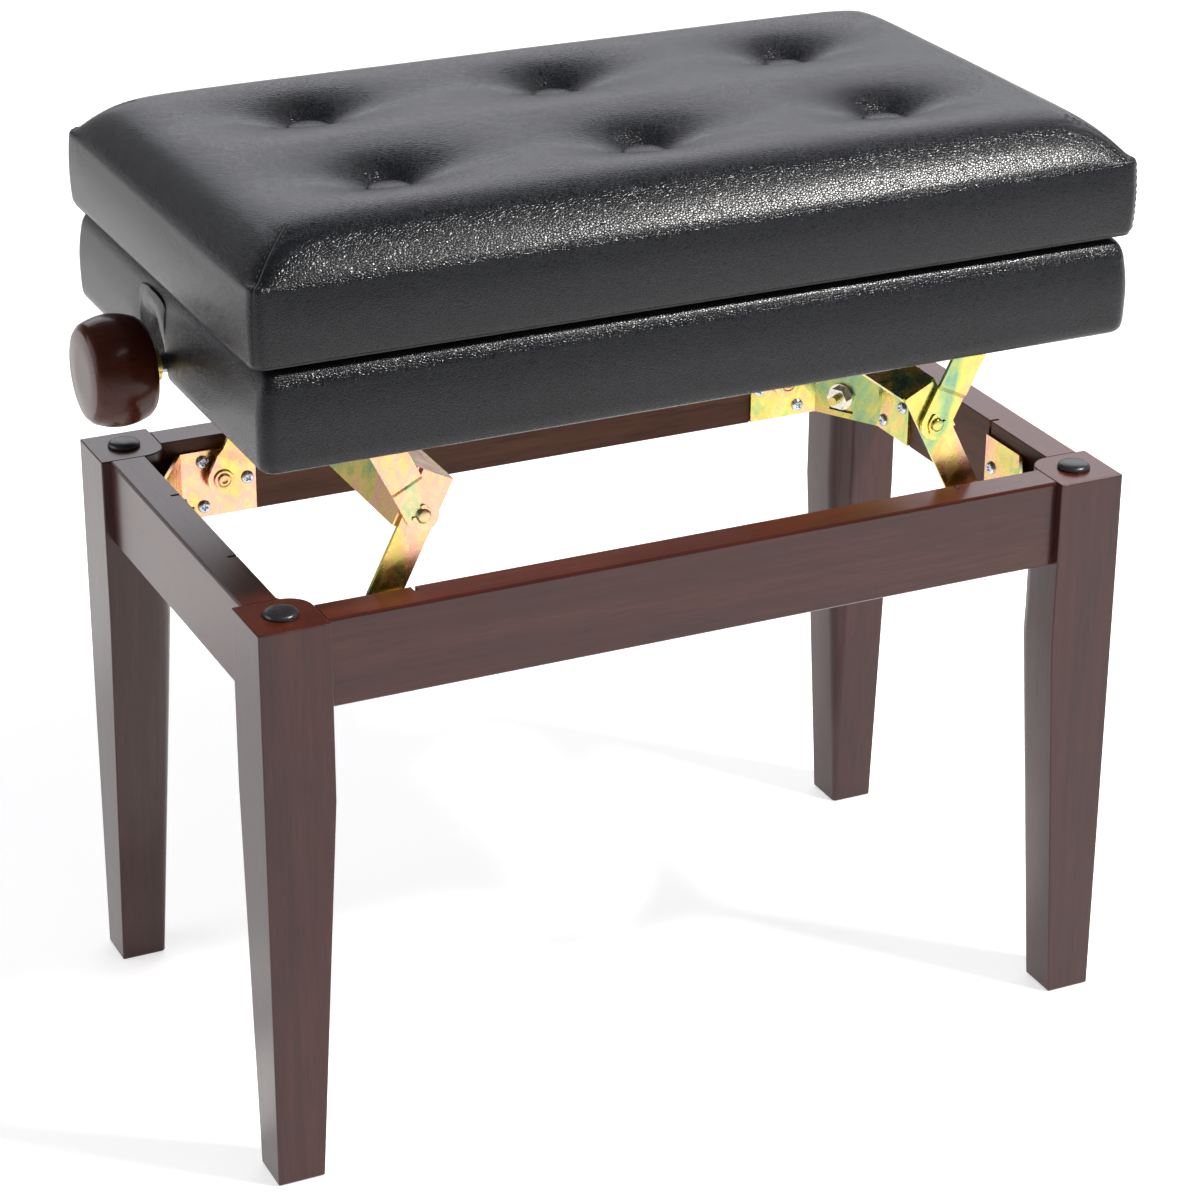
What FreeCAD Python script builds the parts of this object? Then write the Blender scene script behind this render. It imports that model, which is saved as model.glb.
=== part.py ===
import FreeCAD, Part
import os
import Sketcher
from FreeCAD import Placement, Rotation, Vector

# Height-adjustable piano bench with a lidded music compartment. Millimetres.
# X runs along the bench, Y from front to back, Z up. The shifts put the origin
# under the middle of the whole object, knob and hinge included.

DIMENSIONS = {
    "shift_x": 21.25, "shift_y": -2.75,
    # wooden stand
    "stand_half_x": 277.5, "stand_half_y": 158, "leg_height": 355, "leg_side": 43,
    "foot_side": 29, "taper_start": 245, "leg_corner": 15, "foot_chamfer": 1.2,
    "rail_height": 54, "rail_thickness": 22, "rail_setback": 5.5, "rail_edge": 2,
    "bumper_radius": 10, "bumper_height": 4,
    # corner brackets and their fasteners
    "bracket_height": 44, "bracket_bottom": 302, "sheet": 2,
    "slot_length": 18, "slot_height": 2, "slot_middle": 306,
    "kerf": 2.6, "kerf_depth": 5.5,
    "bolt_radius": 3, "bolt_height": 317, "washer_radius": 9, "washer_thickness": 1.5,
    "nut_across": 13, "nut_height": 5,
    "screw_radius": 2, "screw_length": 14, "screw_head": 4.2, "screw_head_height": 2.4,
    # lifting linkage
    "pivot_x": 198, "base_pivot_z": 328.3, "arm_pitch": 73, "rest_angle": 63.5,
    "arm_width": 20, "arm_sheet": 2.5, "arm_y": 118, "joggle": 3, "strap_y": 121,
    "strap_joggle": 1.2, "pin_radius": 4, "pin_clearance": 0.05, "pin_head": 6.5,
    "head_height": 1.5, "bar_start": 61, "bar_end": 97.5, "bar_edge": 12.5,
    "notch_half": 11, "lug_y": 13.5, "lug_sheet": 3, "lug_half": 9,
    "nut_block": 8, "nut_length": 26, "trunnion_radius": 5,
    # screw, collar and knob
    "screw_z": 459, "spindle_radius": 5.6, "spindle_left": 300, "spindle_right": 165,
    "thrust_collar": 8.5, "collar_radius": 9.5, "collar_length": 7,
    "knob_face": 320, "knob_back": 283, "knob_face_radius": 26.5, "knob_back_radius": 27.5,
    # box
    "box_half_x": 272, "box_half_y": 160, "box_bottom": 447, "box_height": 58,
    "box_corner": 10, "skin": 1.6, "wall": 18, "floor_bottom": 470, "floor_thickness": 9,
    "notch_y": 16, "notch_radius": 24, "notch_height": 16,
    "hanger_y": 126.5, "hanger_length": 40, "hanger_drop": 21,
    "hanger_screw_y": 134.5, "hanger_screw": 8,
    # lid and cushion
    "lid_half_x": 275.3, "lid_half_y": 159.2, "lid_bottom": 508, "lid_board": 12,
    "lid_height": 72, "lid_corner": 10, "crown_radius": 27,
    "tuft_x": 157, "tuft_y": 62, "tuft_radius": 20, "tuft_depth": 24,
    "button_radius": 13.5, "button_height": 5,
    # piano hinge
    "hinge_y": 162.9, "hinge_z": 506.5, "knuckle_radius": 2.6, "hinge_half": 235,
    "leaf": 1.2, "leaf_width": 16, "hinge_pin": 1.2,
}

doc = FreeCAD.newDocument("piano_bench")
sheet = doc.addObject("Spreadsheet::Sheet", "dims")
for row, (name, number) in enumerate(DIMENSIONS.items(), start=1):
    sheet.set(f"A{row}", name)
    sheet.set(f"B{row}", str(number))
    sheet.setAlias(f"B{row}", name)
doc.recompute()


class Dim:
    """A length that knows its value and the expression that drives it."""

    def __init__(self, value, text):
        self.value, self.text = float(value), text

    def __add__(self, other):
        other = dim(other)
        return Dim(self.value + other.value, f"({self.text} + {other.text})")

    def __sub__(self, other):
        other = dim(other)
        return Dim(self.value - other.value, f"({self.text} - {other.text})")

    def __mul__(self, factor):
        return Dim(self.value * factor, f"({self.text} * {factor})")

    def __neg__(self):
        return self * -1


def dim(value):
    return value if isinstance(value, Dim) else Dim(value, f"({value})")


class Dimensions:
    """Reads a spreadsheet cell by its alias."""

    def __getattr__(self, name):
        return Dim(DIMENSIONS[name], f"dims.{name}")


D = Dimensions()
nodes = []


def drive(obj, prop, value):
    obj.setExpression(prop, dim(value).text)


def shift(obj, x=0, y=0, z=0):
    """Drives the base of a placement, the common shift included."""
    drive(obj, "Placement.Base.x", D.shift_x + x)
    drive(obj, "Placement.Base.y", D.shift_y + y)
    drive(obj, "Placement.Base.z", dim(z))


def node(obj, name, x=0, y=0, z=0):
    obj.Label = name
    shift(obj, x, y, z)
    nodes.append(obj)
    return obj


# ---- sketches and features -------------------------------------------------

def body(name):
    return doc.addObject("PartDesign::Body", name)


def sketch(owner, role, lift=None):
    result = owner.newObject("Sketcher::SketchObject", owner.Name + "_sketch")
    plane = next(f for f in owner.Origin.OriginFeatures if f.Role == role)
    result.AttachmentSupport = (plane, [""])
    result.MapMode = "FlatFace"
    if lift is not None:
        drive(result, "AttachmentOffset.Base.z", lift)
    return result


def pin(drawing, kind, geometry, point, value):
    value = dim(value)
    if value.value == 0:
        axis = -2 if kind == "DistanceX" else -1
        drawing.addConstraint(Sketcher.Constraint("PointOnObject", geometry, point, axis))
        return
    index = drawing.addConstraint(
        Sketcher.Constraint(kind, -1, 1, geometry, point, value.value))
    if "dims." in value.text:
        drawing.setExpression(f"Constraints[{index}]", value.text)


def outline(drawing, points):
    """A closed polygon with every corner driven."""
    points = [(dim(x), dim(y)) for x, y in points]
    corners = [Vector(x.value, y.value, 0) for x, y in points]
    first = drawing.GeometryCount
    for start, end in zip(corners, corners[1:] + corners[:1]):
        drawing.addGeometry(Part.LineSegment(start, end), False)
    for i, (x, y) in enumerate(points):
        after = first + (i + 1) % len(points)
        drawing.addConstraint(Sketcher.Constraint("Coincident", first + i, 2, after, 1))
        pin(drawing, "DistanceX", first + i, 1, x)
        pin(drawing, "DistanceY", first + i, 1, y)


def rectangle(drawing, x0, y0, x1, y1):
    outline(drawing, [(x0, y0), (x1, y0), (x1, y1), (x0, y1)])


def circle(drawing, x, y, radius):
    x, y, radius = dim(x), dim(y), dim(radius)
    ring = Part.Circle(Vector(x.value, y.value, 0), Vector(0, 0, 1), radius.value)
    index = drawing.addGeometry(ring, False)
    pin(drawing, "DistanceX", index, 3, x)
    pin(drawing, "DistanceY", index, 3, y)
    size = drawing.addConstraint(Sketcher.Constraint("Radius", index, radius.value))
    drawing.setExpression(f"Constraints[{size}]", radius.text)


def pad(owner, drawing, length, middle=False, back=False):
    feature = owner.newObject("PartDesign::Pad", owner.Name + "_pad")
    feature.Profile = drawing
    drive(feature, "Length", length)
    feature.Midplane = middle
    feature.Reversed = back
    doc.recompute()
    return feature


def pocket(owner, drawing, length=None, middle=False, back=False):
    """Cuts to a depth, or right through everything when no depth is given."""
    feature = owner.newObject("PartDesign::Pocket", owner.Name + "_pocket")
    feature.Profile = drawing
    drive(feature, "Length", 700 if length is None else length)
    feature.Midplane = middle
    feature.Reversed = back
    before = owner.Shape.Volume
    doc.recompute()
    if owner.Shape.Volume > before - 1e-3:
        raise RuntimeError(f"{feature.Name} cuts nothing")
    return feature


def dress(owner, kind, size, wanted):
    """Fillets or chamfers the edges that the test picks out."""
    edges = [f"Edge{i}" for i, edge in enumerate(owner.Shape.Edges, start=1)
             if wanted(edge)]
    last = owner.Tip
    feature = owner.newObject(f"PartDesign::{kind}", f"{owner.Name}_{kind}")
    feature.Base = (last, edges)
    drive(feature, "Radius" if kind == "Fillet" else "Size", size)
    doc.recompute()
    return feature


def middle_of(edge):
    return edge.valueAt((edge.FirstParameter + edge.LastParameter) / 2)


def direction_of(edge):
    return (edge.Vertexes[-1].Point - edge.Vertexes[0].Point).normalize()


def upright(edge):
    return len(edge.Vertexes) == 2 and abs(direction_of(edge).z) > 0.9


def block(owner, x0, y0, x1, y1, bottom, height):
    drawing = sketch(owner, "XY_Plane", bottom)
    rectangle(drawing, x0, y0, x1, y1)
    pad(owner, drawing, height)
    return owner


def rod(name, radius, length, place):
    result = doc.addObject("Part::Cylinder", name)
    drive(result, "Radius", radius)
    drive(result, "Height", length)
    result.Placement = place
    return result


def fuse(name, parts):
    result = doc.addObject("Part::MultiFuse", name)
    result.Shapes = parts
    return result


def cut(name, base, tool):
    result = doc.addObject("Part::Cut", name)
    result.Base, result.Tool = base, tool
    return result


def group(name, parts):
    result = doc.addObject("Part::Compound", name)
    result.Links = parts
    return node(result, name)


def towards(origin, direction):
    """A placement with its Z axis along the direction."""
    return Placement(origin, Rotation(Vector(0, 0, 1), direction))


def pan_screw(name, seat, inward, length):
    """A pan-head wood screw whose head sits on the seat and points out of it."""
    shank = rod(name + "_shank", D.screw_radius, length, towards(seat, inward))
    head = doc.addObject("Part::Cone", name + "_head")
    drive(head, "Radius1", D.screw_head)
    drive(head, "Radius2", D.screw_head * 0.6)
    drive(head, "Height", D.screw_head_height)
    head.Placement = towards(seat, inward * -1)
    return fuse(name, [shank, head])


SIDES = {"left": -1, "right": 1}
ENDS = {"front": -1, "rear": 1}
CORNERS = [(end, side, sx, sy) for side, sx in SIDES.items() for end, sy in ENDS.items()]

half_x, half_y = DIMENSIONS["stand_half_x"], DIMENSIONS["stand_half_y"]
rail_face_x = D.stand_half_x - D.rail_setback
rail_face_y = D.stand_half_y - D.rail_setback
inner_x = rail_face_x - D.rail_thickness
inner_y = rail_face_y - D.rail_thickness
bracket_middle = DIMENSIONS["bolt_height"]

# Each bracket hooks into a saw kerf of the long rail, follows it, crosses the corner,
# follows the end rail and hooks into its kerf. The path is the face that lies on the wood.
BRACKET_PATH = [(176.3, 135.5), (176.3, 130.5), (224, 130.5), (250, 88), (250, 50.3),
                (255, 50.3)]
KERF_X, KERF_Y = 175.3, 49.3
# Screws through the bracket: distance along the rail and height.
LONG_SCREWS = [(209, 339), (180, 324), (209, 309)]
END_SCREWS = [(80, 309), (56, 326)]
BOLT_SPOT = Vector(234.9, 112.4, bracket_middle)
BOLT_WAY = Vector(42.5, 26, 0).normalize()


def mirrored(vector, sx, sy):
    return Vector(vector.x * sx, vector.y * sy, vector.z)


def offset_path(path, distance):
    """The path moved towards the middle of the bench."""
    points = [Vector(x, y, 0) for x, y in path]
    ways = [(b - a).normalize() for a, b in zip(points, points[1:])]
    normals = [Vector(w.y, -w.x, 0) * -1 if w.y * w.x > 0 else Vector(w.y, -w.x, 0)
               for w in ways]
    moved = [points[0] + normals[0] * distance]
    for i in range(1, len(ways)):
        bisector = (normals[i - 1] + normals[i]).normalize()
        moved.append(points[i] + bisector * (distance / bisector.dot(normals[i])))
    moved.append(points[-1] + normals[-1] * distance)
    return [(p.x, p.y) for p in moved]


# ---- wooden stand ----------------------------------------------------------

for end, side, sx, sy in CORNERS:
    leg = body(f"leg_{end}_{side}")
    outer_x, outer_y = D.stand_half_x * sx, D.stand_half_y * sy
    far_x = (D.stand_half_x - D.leg_side) * sx
    far_y = (D.stand_half_y - D.leg_side) * sy
    block(leg, far_x, far_y, outer_x, outer_y, 0, D.leg_height)
    corner = Vector(far_x.value, far_y.value, D.leg_height.value / 2)
    dress(leg, "Fillet", D.leg_corner,
          lambda e: upright(e) and (middle_of(e) - corner).Length < 1)
    foot_x = (D.stand_half_x - D.foot_side) * sx
    foot_y = (D.stand_half_y - D.foot_side) * sy
    wedge = sketch(leg, "XZ_Plane")
    outline(wedge, [(far_x, 0), (foot_x, 0), (far_x, D.taper_start)])
    pocket(leg, wedge, middle=True)
    wedge = sketch(leg, "YZ_Plane")
    outline(wedge, [(far_y, 0), (foot_y, 0), (far_y, D.taper_start)])
    pocket(leg, wedge, middle=True)
    dress(leg, "Chamfer", D.foot_chamfer,
          lambda e: all(abs(v.Z) < 1e-6 for v in e.Vertexes))
    stud_hole = leg.newObject("PartDesign::SubtractiveCylinder", f"{leg.Name}_stud_hole")
    drive(stud_hole, "Radius", D.bolt_radius + D.pin_clearance)
    stud_hole.Height = 33
    stud_hole.Placement = towards(mirrored(BOLT_SPOT, sx, sy), mirrored(BOLT_WAY, sx, sy))
    doc.recompute()
    node(leg, f"leg_{end}_{side}")

for end, sy in ENDS.items():
    rail = body(f"rail_{end}")
    reach = D.stand_half_x - D.leg_side
    block(rail, -reach, inner_y * sy, reach, rail_face_y * sy,
          D.leg_height - D.rail_height, D.rail_height)
    holes = sketch(rail, "XZ_Plane", inner_y * -sy)
    for sx in SIDES.values():
        for along, height in LONG_SCREWS:
            circle(holes, sx * along, height, D.screw_radius + D.pin_clearance)
    pocket(rail, holes, D.screw_length, back=sy < 0)
    kerfs = sketch(rail, "XY_Plane")
    for sx in SIDES.values():
        rectangle(kerfs, dim(KERF_X * sx) - D.kerf * 0.5, (inner_y - 1) * sy,
                  dim(KERF_X * sx) + D.kerf * 0.5, (inner_y + D.kerf_depth) * sy)
    pocket(rail, kerfs, middle=True)
    dress(rail, "Fillet", D.rail_edge,
          lambda e: all(abs(v.Z - 355) < 1e-6 and abs(abs(v.Y) - 152.5) < 1e-6
                        for v in e.Vertexes))
    node(rail, f"rail_{end}")

for side, sx in SIDES.items():
    rail = body(f"rail_{side}")
    reach = D.stand_half_y - D.leg_side
    block(rail, inner_x * sx, -reach, rail_face_x * sx, reach,
          D.leg_height - D.rail_height, D.rail_height)
    holes = sketch(rail, "YZ_Plane", inner_x * sx)
    for sy in ENDS.values():
        for along, height in END_SCREWS:
            circle(holes, sy * along, height, D.screw_radius + D.pin_clearance)
    pocket(rail, holes, D.screw_length, back=sx > 0)
    kerfs = sketch(rail, "XY_Plane")
    for sy in ENDS.values():
        rectangle(kerfs, (inner_x - 1) * sx, dim(KERF_Y * sy) - D.kerf * 0.5,
                  (inner_x + D.kerf_depth) * sx, dim(KERF_Y * sy) + D.kerf * 0.5)
    pocket(rail, kerfs, middle=True)
    dress(rail, "Fillet", D.rail_edge,
          lambda e: all(abs(v.Z - 355) < 1e-6 and abs(abs(v.X) - 272) < 1e-6
                        for v in e.Vertexes))
    node(rail, f"rail_{side}")

bumpers = []
for end, side, sx, sy in CORNERS:
    spot = Vector(sx * (half_x - 21.5), sy * (half_y - 21.5), DIMENSIONS["leg_height"])
    bumper = doc.addObject("Part::Cone", f"bumper_{end}_{side}")
    drive(bumper, "Radius1", D.bumper_radius)
    drive(bumper, "Radius2", D.bumper_radius * 0.7)
    drive(bumper, "Height", D.bumper_height)
    bumper.Placement.Base = spot
    bumpers.append(bumper)
group("leg_bumpers", bumpers)

# ---- corner brackets -------------------------------------------------------

screws, studs, washers, nuts, rivets = [], [], [], [], []
for end, side, sx, sy in CORNERS:
    bracket = body(f"corner_bracket_{end}_{side}")
    face = [(x * sx, y * sy) for x, y in BRACKET_PATH]
    back = [(x * sx, y * sy) for x, y in offset_path(BRACKET_PATH, 2)]
    profile = sketch(bracket, "XY_Plane", D.bracket_bottom)
    outline(profile, face + back[::-1])
    pad(bracket, profile, D.bracket_height)
    long_holes = sketch(bracket, "XZ_Plane", D.sheet * sy - inner_y * sy)
    for along, height in LONG_SCREWS:
        circle(long_holes, sx * along, height, D.screw_radius + D.pin_clearance)
    circle(long_holes, D.pivot_x * sx, D.base_pivot_z, D.pin_radius)
    pocket(bracket, long_holes, D.sheet * 2, middle=True)
    end_holes = sketch(bracket, "YZ_Plane", (inner_x - D.sheet) * sx)
    for along, height in END_SCREWS:
        circle(end_holes, sy * along, height, D.screw_radius + D.pin_clearance)
    pocket(bracket, end_holes, D.sheet * 2, middle=True)
    stud_hole = bracket.newObject("PartDesign::SubtractiveCylinder",
                                  f"{bracket.Name}_stud_hole")
    drive(stud_hole, "Radius", D.bolt_radius + D.pin_clearance)
    stud_hole.Height = 6
    spot, way = mirrored(BOLT_SPOT, sx, sy), mirrored(BOLT_WAY, sx, sy)
    stud_hole.Placement = towards(spot - way * 4, way)
    slot = bracket.newObject("PartDesign::SubtractiveBox", f"{bracket.Name}_slot")
    drive(slot, "Length", D.slot_length)
    drive(slot, "Width", D.slot_height)
    slot.Height = 8
    along_sheet = Vector(-way.y, way.x, 0)
    turn = Rotation(along_sheet, Vector(0, 0, 1), way, "ZXY")
    centre = Vector(spot.x, spot.y, DIMENSIONS["slot_middle"])
    slot.Placement = Placement(centre - way * 4 - along_sheet * (DIMENSIONS["slot_length"] / 2),
                               turn)
    doc.recompute()
    node(bracket, f"corner_bracket_{end}_{side}")

    for along, height in LONG_SCREWS:
        screws.append(pan_screw(f"screw_{end}_{side}_{along}_{height}",
                                Vector(sx * along, sy * 128.5, height), Vector(0, sy, 0),
                                D.screw_length))
    for along, height in END_SCREWS:
        screws.append(pan_screw(f"screw_{end}_{side}_end_{along}",
                                Vector(sx * 248, sy * along, height), Vector(sx, 0, 0),
                                D.screw_length))
    studs.append(rod(f"stud_{end}_{side}", D.bolt_radius, 46, towards(spot - way * 14, way)))
    ring = rod(f"washer_{end}_{side}_disc", D.washer_radius, D.washer_thickness,
               towards(spot - way * 2, way * -1))
    bore = rod(f"washer_{end}_{side}_bore", D.bolt_radius + D.pin_clearance, 4,
               towards(spot - way, way * -1))
    washers.append(cut(f"washer_{end}_{side}", ring, bore))
    hexagon = doc.addObject("Part::Prism", f"nut_{end}_{side}_hexagon")
    hexagon.Polygon = 6
    drive(hexagon, "Circumradius", D.nut_across * 0.577)
    drive(hexagon, "Height", D.nut_height)
    hexagon.Placement = towards(spot - way * 3.5, way * -1)
    bore = rod(f"nut_{end}_{side}_bore", D.bolt_radius + D.pin_clearance, 10,
               towards(spot - way, way * -1))
    nuts.append(cut(f"nut_{end}_{side}", hexagon, bore))
    pivot = Vector(sx * DIMENSIONS["pivot_x"], 0, DIMENSIONS["base_pivot_z"])
    inward = Vector(0, -sy, 0)
    shank = rod(f"base_rivet_{end}_{side}_shank", D.pin_radius, 9.6,
                towards(pivot - inward * 130.5, inward))
    spacer = rod(f"base_rivet_{end}_{side}_spacer", D.pin_head, 4.9,
                 towards(pivot - inward * 128.5, inward))
    head = rod(f"base_rivet_{end}_{side}_head", D.pin_head, D.head_height,
               towards(pivot - inward * 120.9, inward))
    rivets.append(fuse(f"base_rivet_{end}_{side}", [shank, spacer, head]))
group("bracket_screws", screws)
group("hanger_studs", studs)
group("stud_washers", washers)
group("stud_nuts", nuts)
group("base_pivot_rivets", rivets)

# ---- lifting linkage -------------------------------------------------------
# Every piece of a link is drawn lying along X from its lower pivot, with the
# side that faces the end of the bench towards +Z for the left link and -Z for
# the right, then turned up by the rest angle.


def lay_link(obj, name, sx, x, z, upwards=1):
    """Turns a piece drawn along X to the rest angle, leaning to the middle."""
    obj.Placement.Rotation = Rotation(Vector(0, -1, 0), 45)
    angle = D.rest_angle if sx * upwards < 0 else dim(180) - D.rest_angle
    obj.setExpression("Placement.Rotation.Angle", angle.text)
    return node(obj, name, x=x, z=z)


def strip(name, stations, holes, round_ends):
    """A bent strip: stations are (distance, inner face) pairs, for one side."""
    piece = body(name)
    near = [(u, y) for u, y in stations]
    far = [(u, y + D.arm_sheet * (1 if dim(y).value > 0 else -1)) for u, y in stations]
    profile = sketch(piece, "XY_Plane")
    outline(profile, near + far[::-1])
    pad(piece, profile, D.arm_width, middle=True)
    radius = DIMENSIONS["arm_width"] / 2
    for place in round_ends:
        dress(piece, "Fillet", radius - 0.05,
              lambda e: len(e.Vertexes) == 2 and abs(direction_of(e).y) > 0.99
              and abs(middle_of(e).x - place) < 0.01
              and abs(abs(middle_of(e).z) - radius) < 0.01)
    drawing = sketch(piece, "XZ_Plane")
    for u, size in holes:
        circle(drawing, u, 0, size)
    pocket(piece, drawing, middle=True)
    return piece


base_x, base_z = DIMENSIONS["pivot_x"], DIMENSIONS["base_pivot_z"]
pitch = DIMENSIONS["arm_pitch"]
clear_pin = D.pin_radius + D.pin_clearance
rest = Rotation(Vector(0, -1, 0), DIMENSIONS["rest_angle"]).multVec(Vector(1, 0, 0))

for side, sx in SIDES.items():
    outward = -sx
    pivot_x = D.pivot_x * sx
    for end, sy in ENDS.items():
        arm_in, arm_out = D.arm_y * sy, (D.arm_y + D.joggle) * sy
        arm = strip(f"{side}_lower_arm_{end}",
                    [(-10, arm_out), (13, arm_out), (19, arm_in), (D.bar_end, arm_in)],
                    [(0, clear_pin), (D.arm_pitch, D.pin_radius)], [-10])
        lay_link(arm, f"{side}_lower_arm_{end}", sx, pivot_x, D.base_pivot_z)

    bar = body(f"{side}_cross_bar")
    profile = sketch(bar, "XZ_Plane")
    edge = D.bar_edge * outward
    plate_edge = (D.bar_edge - D.arm_sheet) * outward
    web = D.bar_end - D.arm_sheet
    outline(profile, [(D.bar_start, edge), (D.bar_end, edge), (D.bar_end, -11 * outward),
                      (web, -11 * outward), (web, plate_edge), (D.bar_start, plate_edge)])
    pad(bar, profile, D.arm_y * 2, middle=True)
    relief = sketch(bar, "XZ_Plane")
    rectangle(relief, D.bar_end - 19.5, -2 * outward, D.bar_end + 2, edge + 2 * outward)
    pocket(bar, relief, D.notch_half * 2, middle=True)
    lay_link(bar, f"{side}_cross_bar", sx, pivot_x, D.base_pivot_z)

    lugs = []
    for sy in ENDS.values():
        lug = body(f"{side}_lug_{'front' if sy < 0 else 'rear'}")
        profile = sketch(lug, "XY_Plane")
        rectangle(profile, D.bar_end, D.lug_y * sy, D.arm_pitch * 2 + D.lug_half,
                  (D.lug_y + D.lug_sheet) * sy)
        pad(lug, profile, D.lug_half * 2, middle=True)
        tip = pitch * 2 + DIMENSIONS["lug_half"]
        dress(lug, "Fillet", DIMENSIONS["lug_half"] - 0.05,
              lambda e: len(e.Vertexes) == 2 and abs(direction_of(e).y) > 0.99
              and abs(middle_of(e).x - tip) < 0.01)
        drawing = sketch(lug, "XZ_Plane")
        circle(drawing, D.arm_pitch * 2, 0, D.trunnion_radius + D.pin_clearance)
        pocket(lug, drawing, middle=True)
        lugs.append(lug)
    pair = doc.addObject("Part::Compound", f"{side}_nut_lugs")
    pair.Links = lugs
    lay_link(pair, f"{side}_nut_lugs", sx, pivot_x, D.base_pivot_z)

    lean = Vector(-sx * rest.x, 0, rest.z)
    middle = Vector(sx * base_x, 0, base_z) + lean * pitch
    rivets = []
    for end, sy in ENDS.items():
        outwards = Vector(0, sy, 0)
        shank = rod(f"{side}_mid_shank_{end}", D.pin_radius, 7.5,
                    towards(middle + outwards * 117, outwards))
        outer = rod(f"{side}_mid_head_{end}", D.pin_head, D.head_height,
                    towards(middle + outwards * 124, outwards))
        inner = rod(f"{side}_mid_tail_{end}", D.pin_head, D.head_height,
                    towards(middle + outwards * 116.5, outwards))
        rivets.append(fuse(f"{side}_mid_rivet_{end}", [shank, outer, inner]))
    group(f"{side}_mid_rivets", rivets)

    for end, sy in ENDS.items():
        strap_in, strap_out = D.strap_y * sy, (D.strap_y + D.strap_joggle) * sy
        strap = strip(f"{side}_upper_arm_{end}",
                      [(-10, strap_in), (20, strap_in), (22.5, strap_out),
                       (D.arm_pitch + 10, strap_out)],
                      [(0, clear_pin), (D.arm_pitch, clear_pin)], [-10, pitch + 10])
        lay_link(strap, f"{side}_upper_arm_{end}", sx,
                 dim(middle.x), dim(middle.z), upwards=-1)

    nut_spot = Vector(sx * base_x, 0, base_z) + lean * (pitch * 2)
    block_body = body(f"{side}_nut_block")
    drawing = sketch(block_body, "XY_Plane", -D.nut_block)
    rectangle(drawing, -D.nut_block, D.nut_length * -0.5, D.nut_block, D.nut_length * 0.5)
    pad(block_body, drawing, D.nut_block * 2)
    drawing = sketch(block_body, "XZ_Plane")
    circle(drawing, 0, 0, D.trunnion_radius)
    pad(block_body, drawing, (D.lug_y + D.lug_sheet + 1) * 2, middle=True)
    drawing = sketch(block_body, "YZ_Plane")
    circle(drawing, 0, 0, D.spindle_radius + 0.3)
    pocket(block_body, drawing, middle=True)
    node(block_body, f"{side}_nut", x=dim(nut_spot.x), z=dim(nut_spot.z))

# ---- screw and knob --------------------------------------------------------

along_x = Vector(1, 0, 0)
screw_z = DIMENSIONS["screw_z"]
spindle = rod("spindle", D.spindle_radius, D.spindle_left + D.spindle_right,
              towards(Vector(-DIMENSIONS["spindle_left"], 0, screw_z), along_x))
collars = [rod(f"thrust_collar_{name}", D.thrust_collar, 5,
               towards(Vector(x, 0, screw_z), along_x))
           for name, x in (("left", -18), ("right", 13))]
node(fuse("lift_screw", [spindle] + collars), "lift_screw")

collar = rod("collar_disc", D.collar_radius, D.collar_length,
             towards(Vector(-DIMENSIONS["knob_back"], 0, screw_z), along_x))
bore = rod("collar_bore", D.spindle_radius + D.pin_clearance, 20,
           towards(Vector(-290, 0, screw_z), along_x))
node(cut("knob_collar", collar, bore), "knob_collar")

profile = doc.addObject("Sketcher::SketchObject", "knob_profile")
face, back = D.knob_face * -1, D.knob_back * -1
rim, shoulder = Vector(-320, 26.5, 0), Vector(-283, 27.5, 0)
profile.addGeometry(Part.LineSegment(Vector(-320, 0, 0), rim), False)
profile.addGeometry(Part.Arc(rim, Vector(-303, 32, 0), shoulder), False)
profile.addGeometry(Part.LineSegment(shoulder, Vector(-283, 0, 0)), False)
profile.addGeometry(Part.LineSegment(Vector(-283, 0, 0), Vector(-320, 0, 0)), False)
for line, point, x, y in ((0, 1, face, 0), (0, 2, face, D.knob_face_radius),
                          (1, 2, face, D.knob_face_radius), (1, 1, back, D.knob_back_radius),
                          (2, 1, back, D.knob_back_radius), (2, 2, back, 0),
                          (3, 1, back, 0), (3, 2, face, 0)):
    pin(profile, "DistanceX", line, point, x)
    pin(profile, "DistanceY", line, point, y)
turned = doc.addObject("Part::Revolution", "knob_turned")
turned.Source = profile
turned.Axis = Vector(1, 0, 0)
turned.Angle = 360
turned.Solid = True
bore = rod("knob_bore", D.spindle_radius + D.pin_clearance, 19,
           towards(Vector(-301, 0, 0), along_x))
node(cut("knob", turned, bore), "knob", z=D.screw_z)

# ---- box -------------------------------------------------------------------

core_x, core_y = D.box_half_x - D.skin, D.box_half_y - D.skin
room_x, room_y = core_x - D.wall, core_y - D.wall
wall_bottom, wall_height = D.box_bottom + D.skin, D.box_height - D.skin * 2

for end, sy in ENDS.items():
    wall = body(f"box_wall_{end}")
    block(wall, -core_x, room_y * sy, core_x, core_y * sy, wall_bottom, wall_height)
    dress(wall, "Fillet", D.box_corner - D.skin,
          lambda e: upright(e) and abs(abs(middle_of(e).y) - 158.4) < 0.01)
    node(wall, f"box_wall_{end}")


def notch_outline(drawing, radius):
    """The arched opening that the screw passes through."""
    left, right = D.notch_y - radius, D.notch_y + radius
    outline(drawing, [(left, D.box_bottom - 1), (right, D.box_bottom - 1),
                      (right, D.box_bottom + D.notch_height),
                      (right - 7, D.box_bottom + D.notch_height + 13),
                      (D.notch_y, D.box_bottom + D.notch_height + 18),
                      (left + 7, D.box_bottom + D.notch_height + 13),
                      (left, D.box_bottom + D.notch_height)])


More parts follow.
